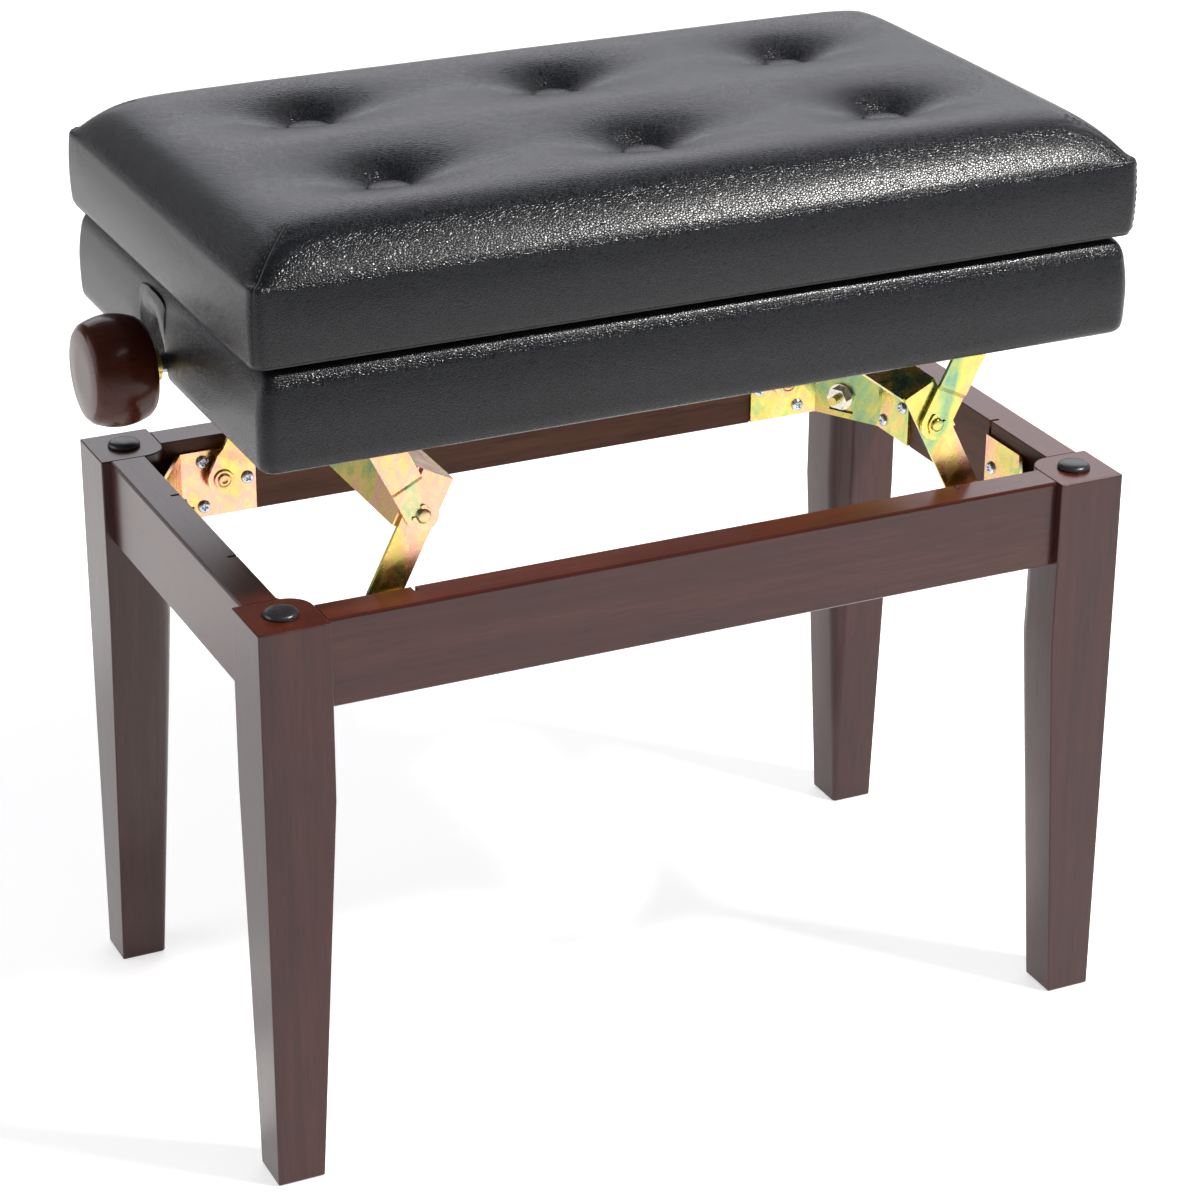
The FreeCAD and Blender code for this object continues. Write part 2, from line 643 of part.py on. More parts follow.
for side, sx in SIDES.items():
    wall = body(f"box_wall_{side}")
    block(wall, room_x * sx, -room_y, core_x * sx, room_y, wall_bottom, wall_height)
    if side == "left":
        drawing = sketch(wall, "YZ_Plane", -room_x)
        notch_outline(drawing, D.notch_radius + D.skin)
        pocket(wall, drawing, middle=True)
    node(wall, f"box_wall_{side}")

def hanger_holes(drawing, corners):
    """The two screw holes of each hanger."""
    for sx, sy in corners:
        for step in (-13, 13):
            circle(drawing, (D.pivot_x + step) * sx, D.hanger_screw_y * sy,
                   D.screw_radius + D.pin_clearance)


floor = body("box_floor")
block(floor, -room_x, -room_y, room_x, room_y, D.floor_bottom, D.floor_thickness)
drawing = sketch(floor, "XY_Plane", D.floor_bottom)
hanger_holes(drawing, [(sx, sy) for end, side, sx, sy in CORNERS])
pocket(floor, drawing, D.hanger_screw, back=True)
node(floor, "box_floor")

outside = block(body("box_outside"), -D.box_half_x, -D.box_half_y, D.box_half_x,
                D.box_half_y, D.box_bottom, D.box_height)
dress(outside, "Fillet", D.box_corner, upright)
core = block(body("box_core"), -core_x, -core_y, core_x, core_y, wall_bottom, wall_height)
dress(core, "Fillet", D.box_corner - D.skin, upright)
room = block(body("box_room"), -room_x, -room_y, room_x, room_y, D.box_bottom - 1,
             D.box_height + 2)
mouth = body("box_mouth")
drawing = sketch(mouth, "YZ_Plane", -D.box_half_x)
notch_outline(drawing, D.notch_radius)
pad(mouth, drawing, 60, middle=True)
node(cut("box_cover", outside, fuse("box_inside", [core, room, mouth])), "box_cover")

# hangers under the floor that carry the upper pivots, and the screw guide
seat_rivets, hanger_screws = [], []
seat_pivot_z = DIMENSIONS["screw_z"]
for end, side, sx, sy in CORNERS:
    hanger = body(f"seat_hanger_{end}_{side}")
    profile = sketch(hanger, "YZ_Plane", (D.pivot_x - D.hanger_length * 0.5) * sx)
    near, bottom = D.hanger_y * sy, D.floor_bottom - D.hanger_drop
    outline(profile, [(near, bottom), (near + 2 * sy, bottom),
                      (near + 2 * sy, D.floor_bottom - D.sheet),
                      (room_y * sy, D.floor_bottom - D.sheet),
                      (room_y * sy, D.floor_bottom), (near, D.floor_bottom)])
    pad(hanger, profile, D.hanger_length, back=sx < 0)
    drawing = sketch(hanger, "XZ_Plane")
    circle(drawing, D.pivot_x * sx, D.screw_z, D.pin_radius)
    pocket(hanger, drawing, middle=True)
    drawing = sketch(hanger, "XY_Plane", D.floor_bottom)
    hanger_holes(drawing, [(sx, sy)])
    pocket(hanger, drawing, D.sheet * 2)
    node(hanger, f"seat_hanger_{end}_{side}")
    pivot = Vector(sx * base_x, 0, seat_pivot_z)
    outwards = Vector(0, sy, 0)
    shank = rod(f"seat_shank_{end}_{side}", D.pin_radius, 8,
                towards(pivot + outwards * 121, outwards))
    inner = rod(f"seat_head_{end}_{side}", D.pin_head, D.head_height,
                towards(pivot + outwards * 120.6, outwards))
    spacer = rod(f"seat_spacer_{end}_{side}", D.pin_head, 1.7,
                 towards(pivot + outwards * 124.8, outwards))
    outer = rod(f"seat_tail_{end}_{side}", D.pin_head, D.head_height,
                towards(pivot + outwards * 128.5, outwards))
    seat_rivets.append(fuse(f"seat_rivet_{end}_{side}", [shank, inner, spacer, outer]))
    for name, step in (("a", -13), ("b", 13)):
        seat = Vector(sx * (base_x + step), sy * DIMENSIONS["hanger_screw_y"],
                      DIMENSIONS["floor_bottom"] - 2)
        screw = pan_screw(f"hanger_screw_{end}_{side}_{name}", seat, Vector(0, 0, 1),
                          D.hanger_screw + 1)
        hanger_screws.append(screw)
group("seat_pivot_rivets", seat_rivets)
group("seat_hanger_screws", hanger_screws)

guide = body("screw_guide")
block(guide, -12, -16, 12, 16, D.screw_z - 12, D.floor_bottom - D.screw_z + 12)
drawing = sketch(guide, "YZ_Plane")
circle(drawing, 0, D.screw_z, D.spindle_radius + D.pin_clearance)
pocket(guide, drawing, middle=True)
node(guide, "screw_guide")

# ---- piano hinge -----------------------------------------------------------


def knuckles(name, first, leaf_face):
    """Alternate barrels of the hinge joined by one leaf."""
    count, half = 10, DIMENSIONS["hinge_half"]
    pitch_x = 2 * half / count
    y, z = DIMENSIONS["hinge_y"], DIMENSIONS["hinge_z"]
    barrels = []
    for i in range(first, count, 2):
        start = Vector(-half + i * pitch_x + 0.25, y, z)
        barrels.append(rod(f"{name}_barrel_{i}", D.knuckle_radius, pitch_x - 0.5,
                           towards(start, Vector(1, 0, 0))))
        tongue = doc.addObject("Part::Box", f"{name}_tongue_{i}")
        tongue.Length = pitch_x - 0.5
        drive(tongue, "Width", D.leaf_width * 0.5)
        drive(tongue, "Height", D.leaf)
        tongue.Placement.Base = Vector(start.x, y - 8, leaf_face)
        barrels.append(tongue)
    plate = doc.addObject("Part::Box", name + "_plate")
    drive(plate, "Length", D.hinge_half * 2)
    drive(plate, "Width", D.leaf_width)
    drive(plate, "Height", D.leaf)
    plate.Placement.Base = Vector(-half, y - 19.2, leaf_face)
    solid = fuse(name + "_solid", barrels + [plate])
    bore = rod(name + "_bore", D.hinge_pin + (D.pin_clearance if first else 0),
               D.hinge_half * 2 + 2, towards(Vector(-half - 1, y, z), Vector(1, 0, 0)))
    return node(cut(name, solid, bore), name)


knuckles("hinge_leaf_lower", 0, 505)
knuckles("hinge_leaf_upper", 1, DIMENSIONS["lid_bottom"] - DIMENSIONS["leaf"])
node(rod("hinge_rod", D.hinge_pin, D.hinge_half * 2, towards(Vector(), Vector(1, 0, 0))),
     "hinge_pin", x=-D.hinge_half, y=D.hinge_y, z=D.hinge_z)

# ---- lid and cushion -------------------------------------------------------

board_x, board_y = D.lid_half_x - D.skin, D.lid_half_y - D.skin
board = block(body("lid_board"), -board_x, -board_y, board_x, board_y,
              D.lid_bottom, D.lid_board)
dress(board, "Fillet", D.lid_corner - D.skin, upright)
node(board, "lid_board")

tufts = [(D.tuft_x * i, D.tuft_y * sy) for i in (-1, 0, 1) for sy in (-1, 1)]


def cushion(name, inset, bottom, top):
    """A crowned block with a round sink at each tuft."""
    piece = body(name)
    x, y = D.lid_half_x - inset, D.lid_half_y - inset
    block(piece, -x, -y, x, y, bottom, top - bottom)
    dress(piece, "Fillet", D.lid_corner - inset, upright)
    dress(piece, "Fillet", D.crown_radius - inset,
          lambda e: all(abs(v.Z - top.value) < 1e-6 for v in e.Vertexes))
    drawing = sketch(piece, "XY_Plane", top)
    for tuft_x, tuft_y in tufts:
        circle(drawing, tuft_x, tuft_y, D.tuft_radius + inset)
    pocket(piece, drawing, D.tuft_depth)
    return piece


board_top, crown = D.lid_bottom + D.lid_board, D.lid_bottom + D.lid_height
node(cushion("cushion_foam", D.skin, board_top, crown - D.skin), "cushion_foam")
outer_skin = cushion("cushion_outside", dim(0), D.lid_bottom, crown)
inner_skin = cushion("cushion_inside", D.skin, D.lid_bottom - 1, crown - D.skin)
node(cut("cushion_cover", outer_skin, inner_skin), "cushion_cover")

button_z = DIMENSIONS["lid_bottom"] + DIMENSIONS["lid_height"] - DIMENSIONS["tuft_depth"]
buttons = []
for i, (tuft_x, tuft_y) in enumerate(tufts, start=1):
    button = rod(f"button_{i}", D.button_radius, D.button_height,
                 Placement(Vector(tuft_x.value, tuft_y.value, button_z), Rotation()))
    buttons.append(button)
group("tufting_buttons", buttons)

# ---- check and export ------------------------------------------------------

doc.recompute()
broken = [obj.Label for obj in doc.Objects
          if any(word in obj.State for word in ("Invalid", "Error"))]
if broken:
    raise RuntimeError(f"did not compute: {broken}")
os.makedirs("parts", exist_ok=True)
names = [obj.Label for obj in nodes]
if len(set(names)) != len(names):
    raise RuntimeError("two nodes share a name")
total = FreeCAD.BoundBox()
for obj in nodes:
    if obj.Shape.isNull() or not obj.Shape.isValid():
        raise RuntimeError(f"{obj.Label} has a broken shape")
    total.add(obj.Shape.BoundBox)
    obj.Shape.exportStep(f"parts/{obj.Label}.step")
print(len(nodes), "nodes; bounds", total)
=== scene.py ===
import math
import random

import bmesh
import bpy
import numpy as np
from mathutils import Matrix, Vector
from mathutils.bvhtree import BVHTree


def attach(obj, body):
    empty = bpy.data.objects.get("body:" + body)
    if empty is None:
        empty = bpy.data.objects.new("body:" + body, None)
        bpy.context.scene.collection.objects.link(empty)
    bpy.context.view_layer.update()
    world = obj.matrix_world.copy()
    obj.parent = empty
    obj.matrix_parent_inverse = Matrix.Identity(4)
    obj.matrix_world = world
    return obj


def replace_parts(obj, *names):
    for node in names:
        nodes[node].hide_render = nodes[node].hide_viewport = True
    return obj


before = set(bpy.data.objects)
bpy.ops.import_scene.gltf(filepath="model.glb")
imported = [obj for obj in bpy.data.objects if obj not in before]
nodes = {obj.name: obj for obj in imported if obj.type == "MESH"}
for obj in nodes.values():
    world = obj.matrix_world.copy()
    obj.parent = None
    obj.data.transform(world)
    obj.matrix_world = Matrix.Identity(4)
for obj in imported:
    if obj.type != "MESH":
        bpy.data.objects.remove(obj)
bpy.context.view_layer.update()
random.seed(7)

# The middle of the legs in the row frame, and lengths in millimetres from there.
SHIFT = Vector((0.02125, -0.00275, 0.0))
MM = 0.001


def at(x, y, z):
    """A point in row metres, from millimetres about the middle of the legs."""
    return Vector((x, y, z)) * MM + SHIFT


# ---- mesh helpers ------------------------------------------------------------

def add(name, verts, faces, mats, ride, smooth=True, face_mats=None):
    """A piece from points in millimetres about the middle of the legs."""
    mesh = bpy.data.meshes.new(name)
    mesh.from_pydata([tuple(at(*v)) for v in verts], [], [list(map(int, f)) for f in faces])
    for mat in mats if isinstance(mats, (list, tuple)) else [mats]:
        mesh.materials.append(mat)
    if face_mats is not None:
        mesh.polygons.foreach_set("material_index", face_mats)
    if smooth:
        mesh.polygons.foreach_set("use_smooth", [True] * len(mesh.polygons))
    mesh.validate()
    obj = bpy.data.objects.new(name, mesh)
    bpy.context.scene.collection.objects.link(obj)
    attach(obj, ride)
    return obj


def outward(obj):
    """Turns every face of a closed piece outwards."""
    bm = bmesh.new()
    bm.from_mesh(obj.data)
    bmesh.ops.recalc_face_normals(bm, faces=bm.faces)
    bm.to_mesh(obj.data)
    bm.free()
    return obj


def bevel(obj, width, segments=3, angle=28):
    """Rounds the edges that turn by more than angle degrees."""
    mod = obj.modifiers.new("edges", "BEVEL")
    mod.width, mod.segments = width * MM, segments
    mod.limit_method, mod.angle_limit = "ANGLE", math.radians(angle)
    mod.harden_normals = True
    return obj


def loft(rings):
    """Vertices and quads through closed rings of equal length, with both ends closed."""
    n = len(rings[0])
    verts = [v for ring in rings for v in ring]
    faces = []
    for r in range(len(rings) - 1):
        for i in range(n):
            j = (i + 1) % n
            faces.append((r * n + i, r * n + j, (r + 1) * n + j, (r + 1) * n + i))
    faces.append(tuple(range(n))[::-1])
    faces.append(tuple((len(rings) - 1) * n + i for i in range(n)))
    return verts, faces


def smoothstep(a, b, x):
    """Rises smoothly from 0 at a to 1 at b."""
    t = np.clip((x - a) / (b - a), 0.0, 1.0)
    return t * t * (3 - 2 * t)


# ---- materials ---------------------------------------------------------------

class Nodes:
    """Short calls to build a node material."""

    def __init__(self, name, rough=0.5, color=(0.5, 0.5, 0.5), metal=0.0):
        self.mat = bpy.data.materials.new(name)
        self.mat.use_nodes = True
        self.tree = self.mat.node_tree
        self.shader = self.tree.nodes["Principled BSDF"]
        self.shader.inputs["Roughness"].default_value = rough
        self.shader.inputs["Base Color"].default_value = (*color, 1)
        self.shader.inputs["Metallic"].default_value = metal
        coords = self.tree.nodes.new("ShaderNodeTexCoord")
        self.coords = coords.outputs["Object"]

    def new(self, kind, **values):
        node = self.tree.nodes.new("ShaderNode" + kind)
        for key, value in values.items():
            if hasattr(node, key):
                setattr(node, key, value)
        return node

    def put(self, value, socket):
        if isinstance(value, bpy.types.NodeSocket):
            self.tree.links.new(value, socket)
        elif value is not None:
            socket.default_value = value

    def scaled(self, scale, source=None):
        node = self.new("Mapping")
        self.put(source or self.coords, node.inputs["Vector"])
        node.inputs["Scale"].default_value = scale
        return node.outputs["Vector"]

    def noise(self, scale, detail=3.0, rough=0.5, vector=None, distort=0.0):
        node = self.new("TexNoise")
        self.put(vector or self.coords, node.inputs["Vector"])
        node.inputs["Scale"].default_value = scale
        node.inputs["Detail"].default_value = detail
        node.inputs["Roughness"].default_value = rough
        node.inputs["Distortion"].default_value = distort
        return node.outputs["Fac"]

    def cells(self, scale, feature="F1", vector=None, smooth=0.5):
        node = self.new("TexVoronoi", feature=feature)
        self.put(vector or self.coords, node.inputs["Vector"])
        node.inputs["Scale"].default_value = scale
        if "Smoothness" in node.inputs and feature == "SMOOTH_F1":
            node.inputs["Smoothness"].default_value = smooth
        return node.outputs["Distance"]

    def ramp(self, fac, *stops):
        node = self.new("ValToRGB")
        self.put(fac, node.inputs["Fac"])
        elements = node.color_ramp.elements
        while len(elements) < len(stops):
            elements.new(0.5)
        for element, (place, value) in zip(elements, stops):
            element.position = place
            element.color = (value, value, value, 1) if isinstance(value, float) else (*value, 1)
        return node.outputs["Color"]

    def math(self, kind, a, b):
        node = self.new("Math", operation=kind)
        self.put(a, node.inputs[0])
        self.put(b, node.inputs[1])
        return node.outputs[0]

    def mix(self, fac, a, b, blend="MIX"):
        node = self.new("Mix", data_type="RGBA", blend_type=blend)
        self.put(fac, node.inputs["Factor"])
        for value, socket in ((a, node.inputs[6]), (b, node.inputs[7])):
            self.put((*value, 1) if isinstance(value, tuple) else value, socket)
        return node.outputs[2]

    def bump(self, height, distance, strength=1.0, over=None):
        node = self.new("Bump")
        self.put(height, node.inputs["Height"])
        node.inputs["Distance"].default_value = distance
        node.inputs["Strength"].default_value = strength
        if over is not None:
            self.put(over, node.inputs["Normal"])
        self.put(node.outputs["Normal"], self.shader.inputs["Normal"])
        return node.outputs["Normal"]

    def color(self, value):
        self.put(value, self.shader.inputs["Base Color"])

    def rough(self, value):
        self.put(value, self.shader.inputs["Roughness"])


def leather_material(name="leather", dark=(0.0064, 0.0070, 0.0092), light=(0.0138, 0.0150, 0.0192)):
    """Black leather with a fine pebble grain."""
    m = Nodes(name, rough=0.28)
    warp = m.noise(140, 2.0)
    wobble = m.new("VectorMath", operation="ADD")
    m.put(m.coords, wobble.inputs[0])
    offset = m.new("VectorMath", operation="SCALE")
    color_noise = m.new("TexNoise")
    m.put(m.coords, color_noise.inputs["Vector"])
    color_noise.inputs["Scale"].default_value = 420
    m.put(color_noise.outputs["Color"], offset.inputs[0])
    offset.inputs["Scale"].default_value = 0.0006
    m.put(offset.outputs[0], wobble.inputs[1])
    skewed = m.scaled((1.0, 1.0, 1.35), wobble.outputs[0])
    pebble = m.cells(600, "SMOOTH_F1", skewed, 0.35)
    creases = m.ramp(m.cells(600, "DISTANCE_TO_EDGE", skewed), (0.0, 0.0), (0.16, 1.0))
    fine = m.noise(2600, 3.0)
    broad = m.noise(9, 3.0)
    height = m.math("ADD", m.math("MULTIPLY", creases, 0.55), m.math("MULTIPLY", fine, 0.08))
    height = m.math("SUBTRACT", height, m.math("MULTIPLY", pebble, 0.6))
    tone = m.math("ADD", m.math("MULTIPLY", broad, 0.55), m.math("MULTIPLY", warp, 0.45))
    base = m.ramp(tone, (0.30, dark), (0.72, light))
    # painted shade: the low crease lines between the grain's pebbles are darkened to half the dark tone
    m.color(m.mix(m.math("SUBTRACT", 1.0, creases), base, tuple(c * 0.5 for c in dark)))
    m.rough(m.ramp(m.math("ADD", m.math("MULTIPLY", fine, 0.4),
                          m.math("MULTIPLY", broad, 0.6)), (0.25, 0.21), (0.75, 0.27)))
    soft = m.bump(m.noise(60, 2.0), 0.00008, 0.5)
    m.bump(height, 0.00013, 1.0, soft)
    m.shader.inputs["Specular IOR Level"].default_value = 0.28
    m.shader.inputs["Sheen Weight"].default_value = 0.02
    m.shader.inputs["Sheen Roughness"].default_value = 0.45
    m.shader.inputs["Sheen Tint"].default_value = (0.75, 0.8, 0.9, 1)
    return m.mat


def wood_material(name, along, dark, middle, light, rough=(0.27, 0.36), coat=0.50, painted_top_light=1.0):
    """Lacquered wood with its grain along X, Y or Z."""
    m = Nodes(name, rough=0.35)
    stretch = {"x": (0.06, 1.0, 1.0), "y": (1.0, 0.06, 1.0), "z": (1.0, 1.0, 0.06)}[along]
    vector = m.scaled(stretch)
    slow = m.noise(26, 4.0, 0.55, vector, 0.6)
    streak = m.noise(210, 4.0, 0.6, vector, 0.2)
    pore_vector = m.scaled(tuple(s if s == 1.0 else 0.03 for s in stretch))
    pore = m.noise(1500, 2.0, 0.5, pore_vector)
    pores = m.ramp(pore, (0.30, 0.0), (0.42, 1.0))
    tone = m.math("ADD", m.math("MULTIPLY", slow, 0.55), m.math("MULTIPLY", streak, 0.45))
    base = m.ramp(tone, (0.30, dark), (0.50, middle), (0.72, light))
    base = m.mix(m.math("MULTIPLY", m.math("SUBTRACT", 1.0, pores), 0.55), base,
                 tuple(c * 0.45 for c in dark))
    # painted light: faces that look upwards are made lighter and warmer, as if lit from above; the last
    # argument sets how much
    split = m.new("SeparateXYZ")
    m.put(m.new("NewGeometry").outputs["Normal"], split.inputs[0])
    m.color(m.mix(m.ramp(split.outputs["Z"], (0.80, 0.0), (0.97, painted_top_light)), base, (2.1, 1.6, 0.90), "MULTIPLY"))
    m.rough(m.ramp(m.math("ADD", m.math("MULTIPLY", streak, 0.5), m.math("MULTIPLY", slow, 0.5)),
                   (0.3, rough[0]), (0.7, rough[1])))
    m.bump(m.math("ADD", pores, m.math("MULTIPLY", streak, 0.7)), 0.00005, 0.6)
    m.shader.inputs["Specular IOR Level"].default_value = 0.15
    m.shader.inputs["Coat Weight"].default_value = coat
    m.shader.inputs["Coat Roughness"].default_value = 0.22
    return m.mat


def zinc_material():
    """Yellow chromate over zinc, with its drifting pink, gold and green bloom."""
    m = Nodes("zinc_yellow", rough=0.24, metal=1.0)
    drift = m.noise(17, 3.0, 0.55, m.scaled((1.0, 1.0, 0.6)), 1.6)
    spots = m.noise(120, 4.0, 0.6, None, 0.6)
    tone = m.math("ADD", m.math("MULTIPLY", drift, 0.80), m.math("MULTIPLY", spots, 0.20))
    m.color(m.ramp(tone, (0.32, (0.17, 0.32, 0.24)), (0.39, (0.36, 0.46, 0.17)),
                   (0.45, (0.66, 0.54, 0.13)), (0.51, (0.74, 0.48, 0.20)),
                   (0.57, (0.76, 0.41, 0.31)), (0.62, (0.72, 0.50, 0.26)), (0.69, (0.36, 0.50, 0.27))))
    m.rough(m.ramp(spots, (0.3, 0.18), (0.7, 0.36)))
    m.bump(m.noise(700, 3.0), 0.00004, 0.5, m.bump(m.noise(35, 2.0), 0.0004, 0.4))
    return m.mat


def steel_material(name, color, rough):
    """Plated or bare steel, slightly uneven."""
    m = Nodes(name, rough=rough, metal=1.0)
    tone = m.noise(120, 4.0, 0.6)
    m.color(m.ramp(tone, (0.3, tuple(c * 0.78 for c in color)), (0.7, color)))
    m.rough(m.ramp(m.noise(500, 3.0), (0.3, rough * 0.8), (0.7, rough * 1.4)))
    m.bump(m.noise(1400, 2.0), 0.00003, 0.5)
    return m.mat


def plain_material(name, dark, light, rough, scale=500, depth=0.00006):
    """A dark matt surface with a fine grain."""
    m = Nodes(name, rough=rough)
    grain = m.noise(scale, 4.0)
    m.color(m.ramp(m.math("ADD", m.math("MULTIPLY", grain, 0.5),
                          m.math("MULTIPLY", m.noise(40, 3.0), 0.5)), (0.3, dark), (0.7, light)))
    m.rough(m.ramp(grain, (0.3, rough * 0.85), (0.7, min(rough * 1.2, 1.0))))
    m.bump(grain, depth, 0.7)
    return m.mat


LEATHER = leather_material()
THREAD = plain_material("thread", (0.012, 0.012, 0.013), (0.03, 0.03, 0.033), 0.7, 3000, 0.00005)
WALNUT = {"dark": (0.021, 0.0046, 0.0038), "middle": (0.038, 0.0086, 0.0068),
          "light": (0.064, 0.0165, 0.0125)}
WOOD_X = wood_material("lacquered_wood_x", "x", **WALNUT)
WOOD_Y = wood_material("lacquered_wood_y", "y", **WALNUT)
WOOD_Z = wood_material("lacquered_wood_z", "z", **WALNUT)
STAINED = {"dark": (0.042, 0.0155, 0.0085), "middle": (0.080, 0.031, 0.0165), "light": (0.125, 0.053, 0.029),
           "rough": (0.40, 0.52), "coat": 0.0, "painted_top_light": 0.0}
STAINED_X = wood_material("stained_wood_x", "x", **STAINED)
STAINED_Y = wood_material("stained_wood_y", "y", **STAINED)
KNOB_WOOD = wood_material("knob_wood", "x", (0.032, 0.0062, 0.0030), (0.054, 0.0112, 0.0055),
                          (0.080, 0.020, 0.010), rough=(0.17, 0.22), coat=0.15, painted_top_light=0.0)
ZINC = zinc_material()
SCREW_STEEL = steel_material("bright_zinc", (0.62, 0.68, 0.80), 0.22)
PLAIN_STEEL = steel_material("plain_steel", (0.66, 0.66, 0.64), 0.30)
WASHER_STEEL = steel_material("washer_steel", (0.86, 0.82, 0.72), 0.20)
PLY = plain_material("black_stained_plywood", (0.014, 0.013, 0.013), (0.030, 0.028, 0.027), 0.62, 300, 0.0001)
RUBBER = plain_material("black_bumper", (0.012, 0.012, 0.014), (0.028, 0.028, 0.032), 0.30, 700)

# ---- carried-over CAD parts -----------------------------------------------

CAD_LOOK = [
    (ZINC, ("corner_bracket", "base_pivot", "lower_arm", "upper_arm", "cross_bar", "nut_lugs",
            "mid_rivets", "seat_hanger_front", "seat_hanger_rear", "seat_pivot", "screw_guide",
            "knob_collar")),
    (SCREW_STEEL, ("bracket_screws", "seat_hanger_screws")),
    (PLAIN_STEEL, ("left_nut", "right_nut", "hinge")),
    (WASHER_STEEL, ("stud_washers", "stud_nuts")),
    (ZINC, ("lift_screw", "hanger_studs")),
    (PLY, ("box_wall", "box_floor", "lid_board")),
    (RUBBER, ("leg_bumpers",)),
    (KNOB_WOOD, ("knob",)),
    (WOOD_Z, ("leg_front", "leg_rear")),
    (WOOD_X, ("rail_front", "rail_rear")),
    (WOOD_Y, ("rail_left", "rail_right")),
    (LEATHER, ("box_cover", "cushion_cover", "tufting_buttons", "cushion_foam")),
]
for name, obj in nodes.items():
    for mat, words in reversed(CAD_LOOK):
        if any(word in name for word in words):
            for slot in obj.material_slots:
                slot.material = mat
    if "nut_lugs" in name or name.endswith("_nut"):
        for slot in obj.material_slots:
            slot.material = ZINC if "lugs" in name else PLAIN_STEEL

BEVELLED = ("bracket_", "lower_arm", "upper_arm", "cross_bar", "nut_lugs", "_nut", "seat_hanger_front",
            "seat_hanger_rear", "washers", "nuts", "screw_guide", "hinge_leaf")
for name, obj in nodes.items():
    if any(word in name for word in BEVELLED):
        bevel(obj, 0.35, 2, 40).modifiers["edges"].harden_normals = False

SIDES = {"left": -1, "right": 1}
ENDS = {"front": -1, "rear": 1}
CORNERS = [(end, side, sx, sy) for side, sx in SIDES.items() for end, sy in ENDS.items()]

# ---- legs and rails --------------------------------------------------------

HALF_X, HALF_Y = 277.5, 158  # outer faces of the legs
RAIL_THICKNESS, KERF_DEPTH, KERF_HALF = 22.0, 5.5, 1.3


def leg(end, side, sx, sy):
    """A square leg whose two inner faces taper to the foot, with its inner corner rounded."""
    def ring(z, width, radius):
        fx, fy = HALF_X - width, HALF_Y - width
        points = [(HALF_X, HALF_Y), (fx, HALF_Y)]
        for k in range(9):
            turn = math.pi / 2 * k / 8
            points.append((fx + radius * (1 - math.cos(turn)), fy + radius * (1 - math.sin(turn))))
        points.append((HALF_X, fy))
        return [(x * sx, y * sy, z) for x, y in points]
    rings = [ring(0, 29, 3), ring(245, 43, 14), ring(262, 43, 15), ring(355, 43, 15)]
    verts, faces = loft(rings)
    name = f"leg_{end}_{side}"
    obj = outward(add("wood_" + name, verts, faces, WOOD_Z, "stand"))
    bevel(obj, 0.9)
    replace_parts(obj, name)


def rail(name, half, face, kerf, along_x, sign, mat):
    """A rail with its top outer edge rounded and a saw kerf near each end of its inner side."""
    low, high, out = 301.0, 354.9, face + RAIL_THICKNESS * sign
    soft = [(out, low + 0.8), (out, high - 1.6), (out - 0.5 * sign, high - 0.5), (out - 1.6 * sign, high)]
    def ring(at_end, cut):
        near = face + (KERF_DEPTH * sign if cut else 0.0)
        section = [(near, high - 0.4), (near, low + 0.4), (near + 0.4 * sign, low), (out - 0.8 * sign, low)] \
            + soft + [(near + 0.4 * sign, high)]
        return [(at_end, c, z) if along_x else (c, at_end, z) for c, z in section]
    stations = [(-half, False)]
    for spot in (-kerf, kerf):
        stations += [(spot - KERF_HALF, False), (spot - KERF_HALF + 0.01, True),
                     (spot + KERF_HALF - 0.01, True), (spot + KERF_HALF, False)]
    stations.append((half, False))
    verts, faces = loft([ring(*station) for station in stations])
    # the inner side is only stained: it is the first strip of each ring, besides the two ends
    per_ring = len(ring(0, False))
    inner = [int(i % per_ring == 0 and i < len(faces) - 2) for i in range(len(faces))]
    obj = outward(add("wood_" + name, verts, faces, [mat, STAINED_X if along_x else STAINED_Y],
                      "stand", smooth=False, face_mats=inner))
    bevel(obj, 0.35, 2, 50)
    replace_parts(obj, name)


for corner in CORNERS:
    leg(*corner)
for end, sy in ENDS.items():
    rail(f"rail_{end}", 234.3, 130.5 * sy, 175.3, True, sy, WOOD_X)
for side, sx in SIDES.items():
    rail(f"rail_{side}", 114.8, 250.0 * sx, 49.3, False, sx, WOOD_Y)

# ---- turned pieces ---------------------------------------------------------

SCREW_Z = 459              # height of the axis of the screw and knob


def turned(name, profile, origin, axis, mat, ride, count=48):
    """A piece turned about an axis: profile is (distance along, radius)."""
    axis = Vector(axis).normalized()
    side = axis.orthogonal().normalized()
    other = axis.cross(side)
    rings = []
    for along, radius in profile:
        centre = Vector(origin) + axis * along
        rings.append([tuple(centre + (side * math.cos(t) + other * math.sin(t)) * radius)
                      for t in (2 * math.pi * k / count for k in range(count))])
    verts, faces = loft(rings)
    return outward(add(name, verts, faces, mat, ride))


def join(name, objs):
    """One piece from several that share a body."""
    base = objs[0]
    bm = bmesh.new()
    for obj in objs:
        bm.from_mesh(obj.data)
    mesh = bpy.data.meshes.new(name)
    bm.to_mesh(mesh)
    bm.free()
    for slot in base.data.materials:
        mesh.materials.append(slot)
    base.data = mesh
    base.name = name
    for obj in objs[1:]:
        bpy.data.objects.remove(obj)
    return base


dome = [(-0.5, 9.0), (0.0, 9.9), (1.2, 10.0), (2.2, 9.6), (3.0, 8.7), (3.6, 7.0), (3.9, 4.5), (4.0, 2.0),
        (4.0, 0.2)]
bumpers = [turned(f"bumper_{end}_{side}", dome, (sx * 256, sy * 136.5, 355), (0, 0, 1), RUBBER,
                  "stand") for end, side, sx, sy in CORNERS]
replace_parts(join("domed_bumpers", bumpers), "leg_bumpers")

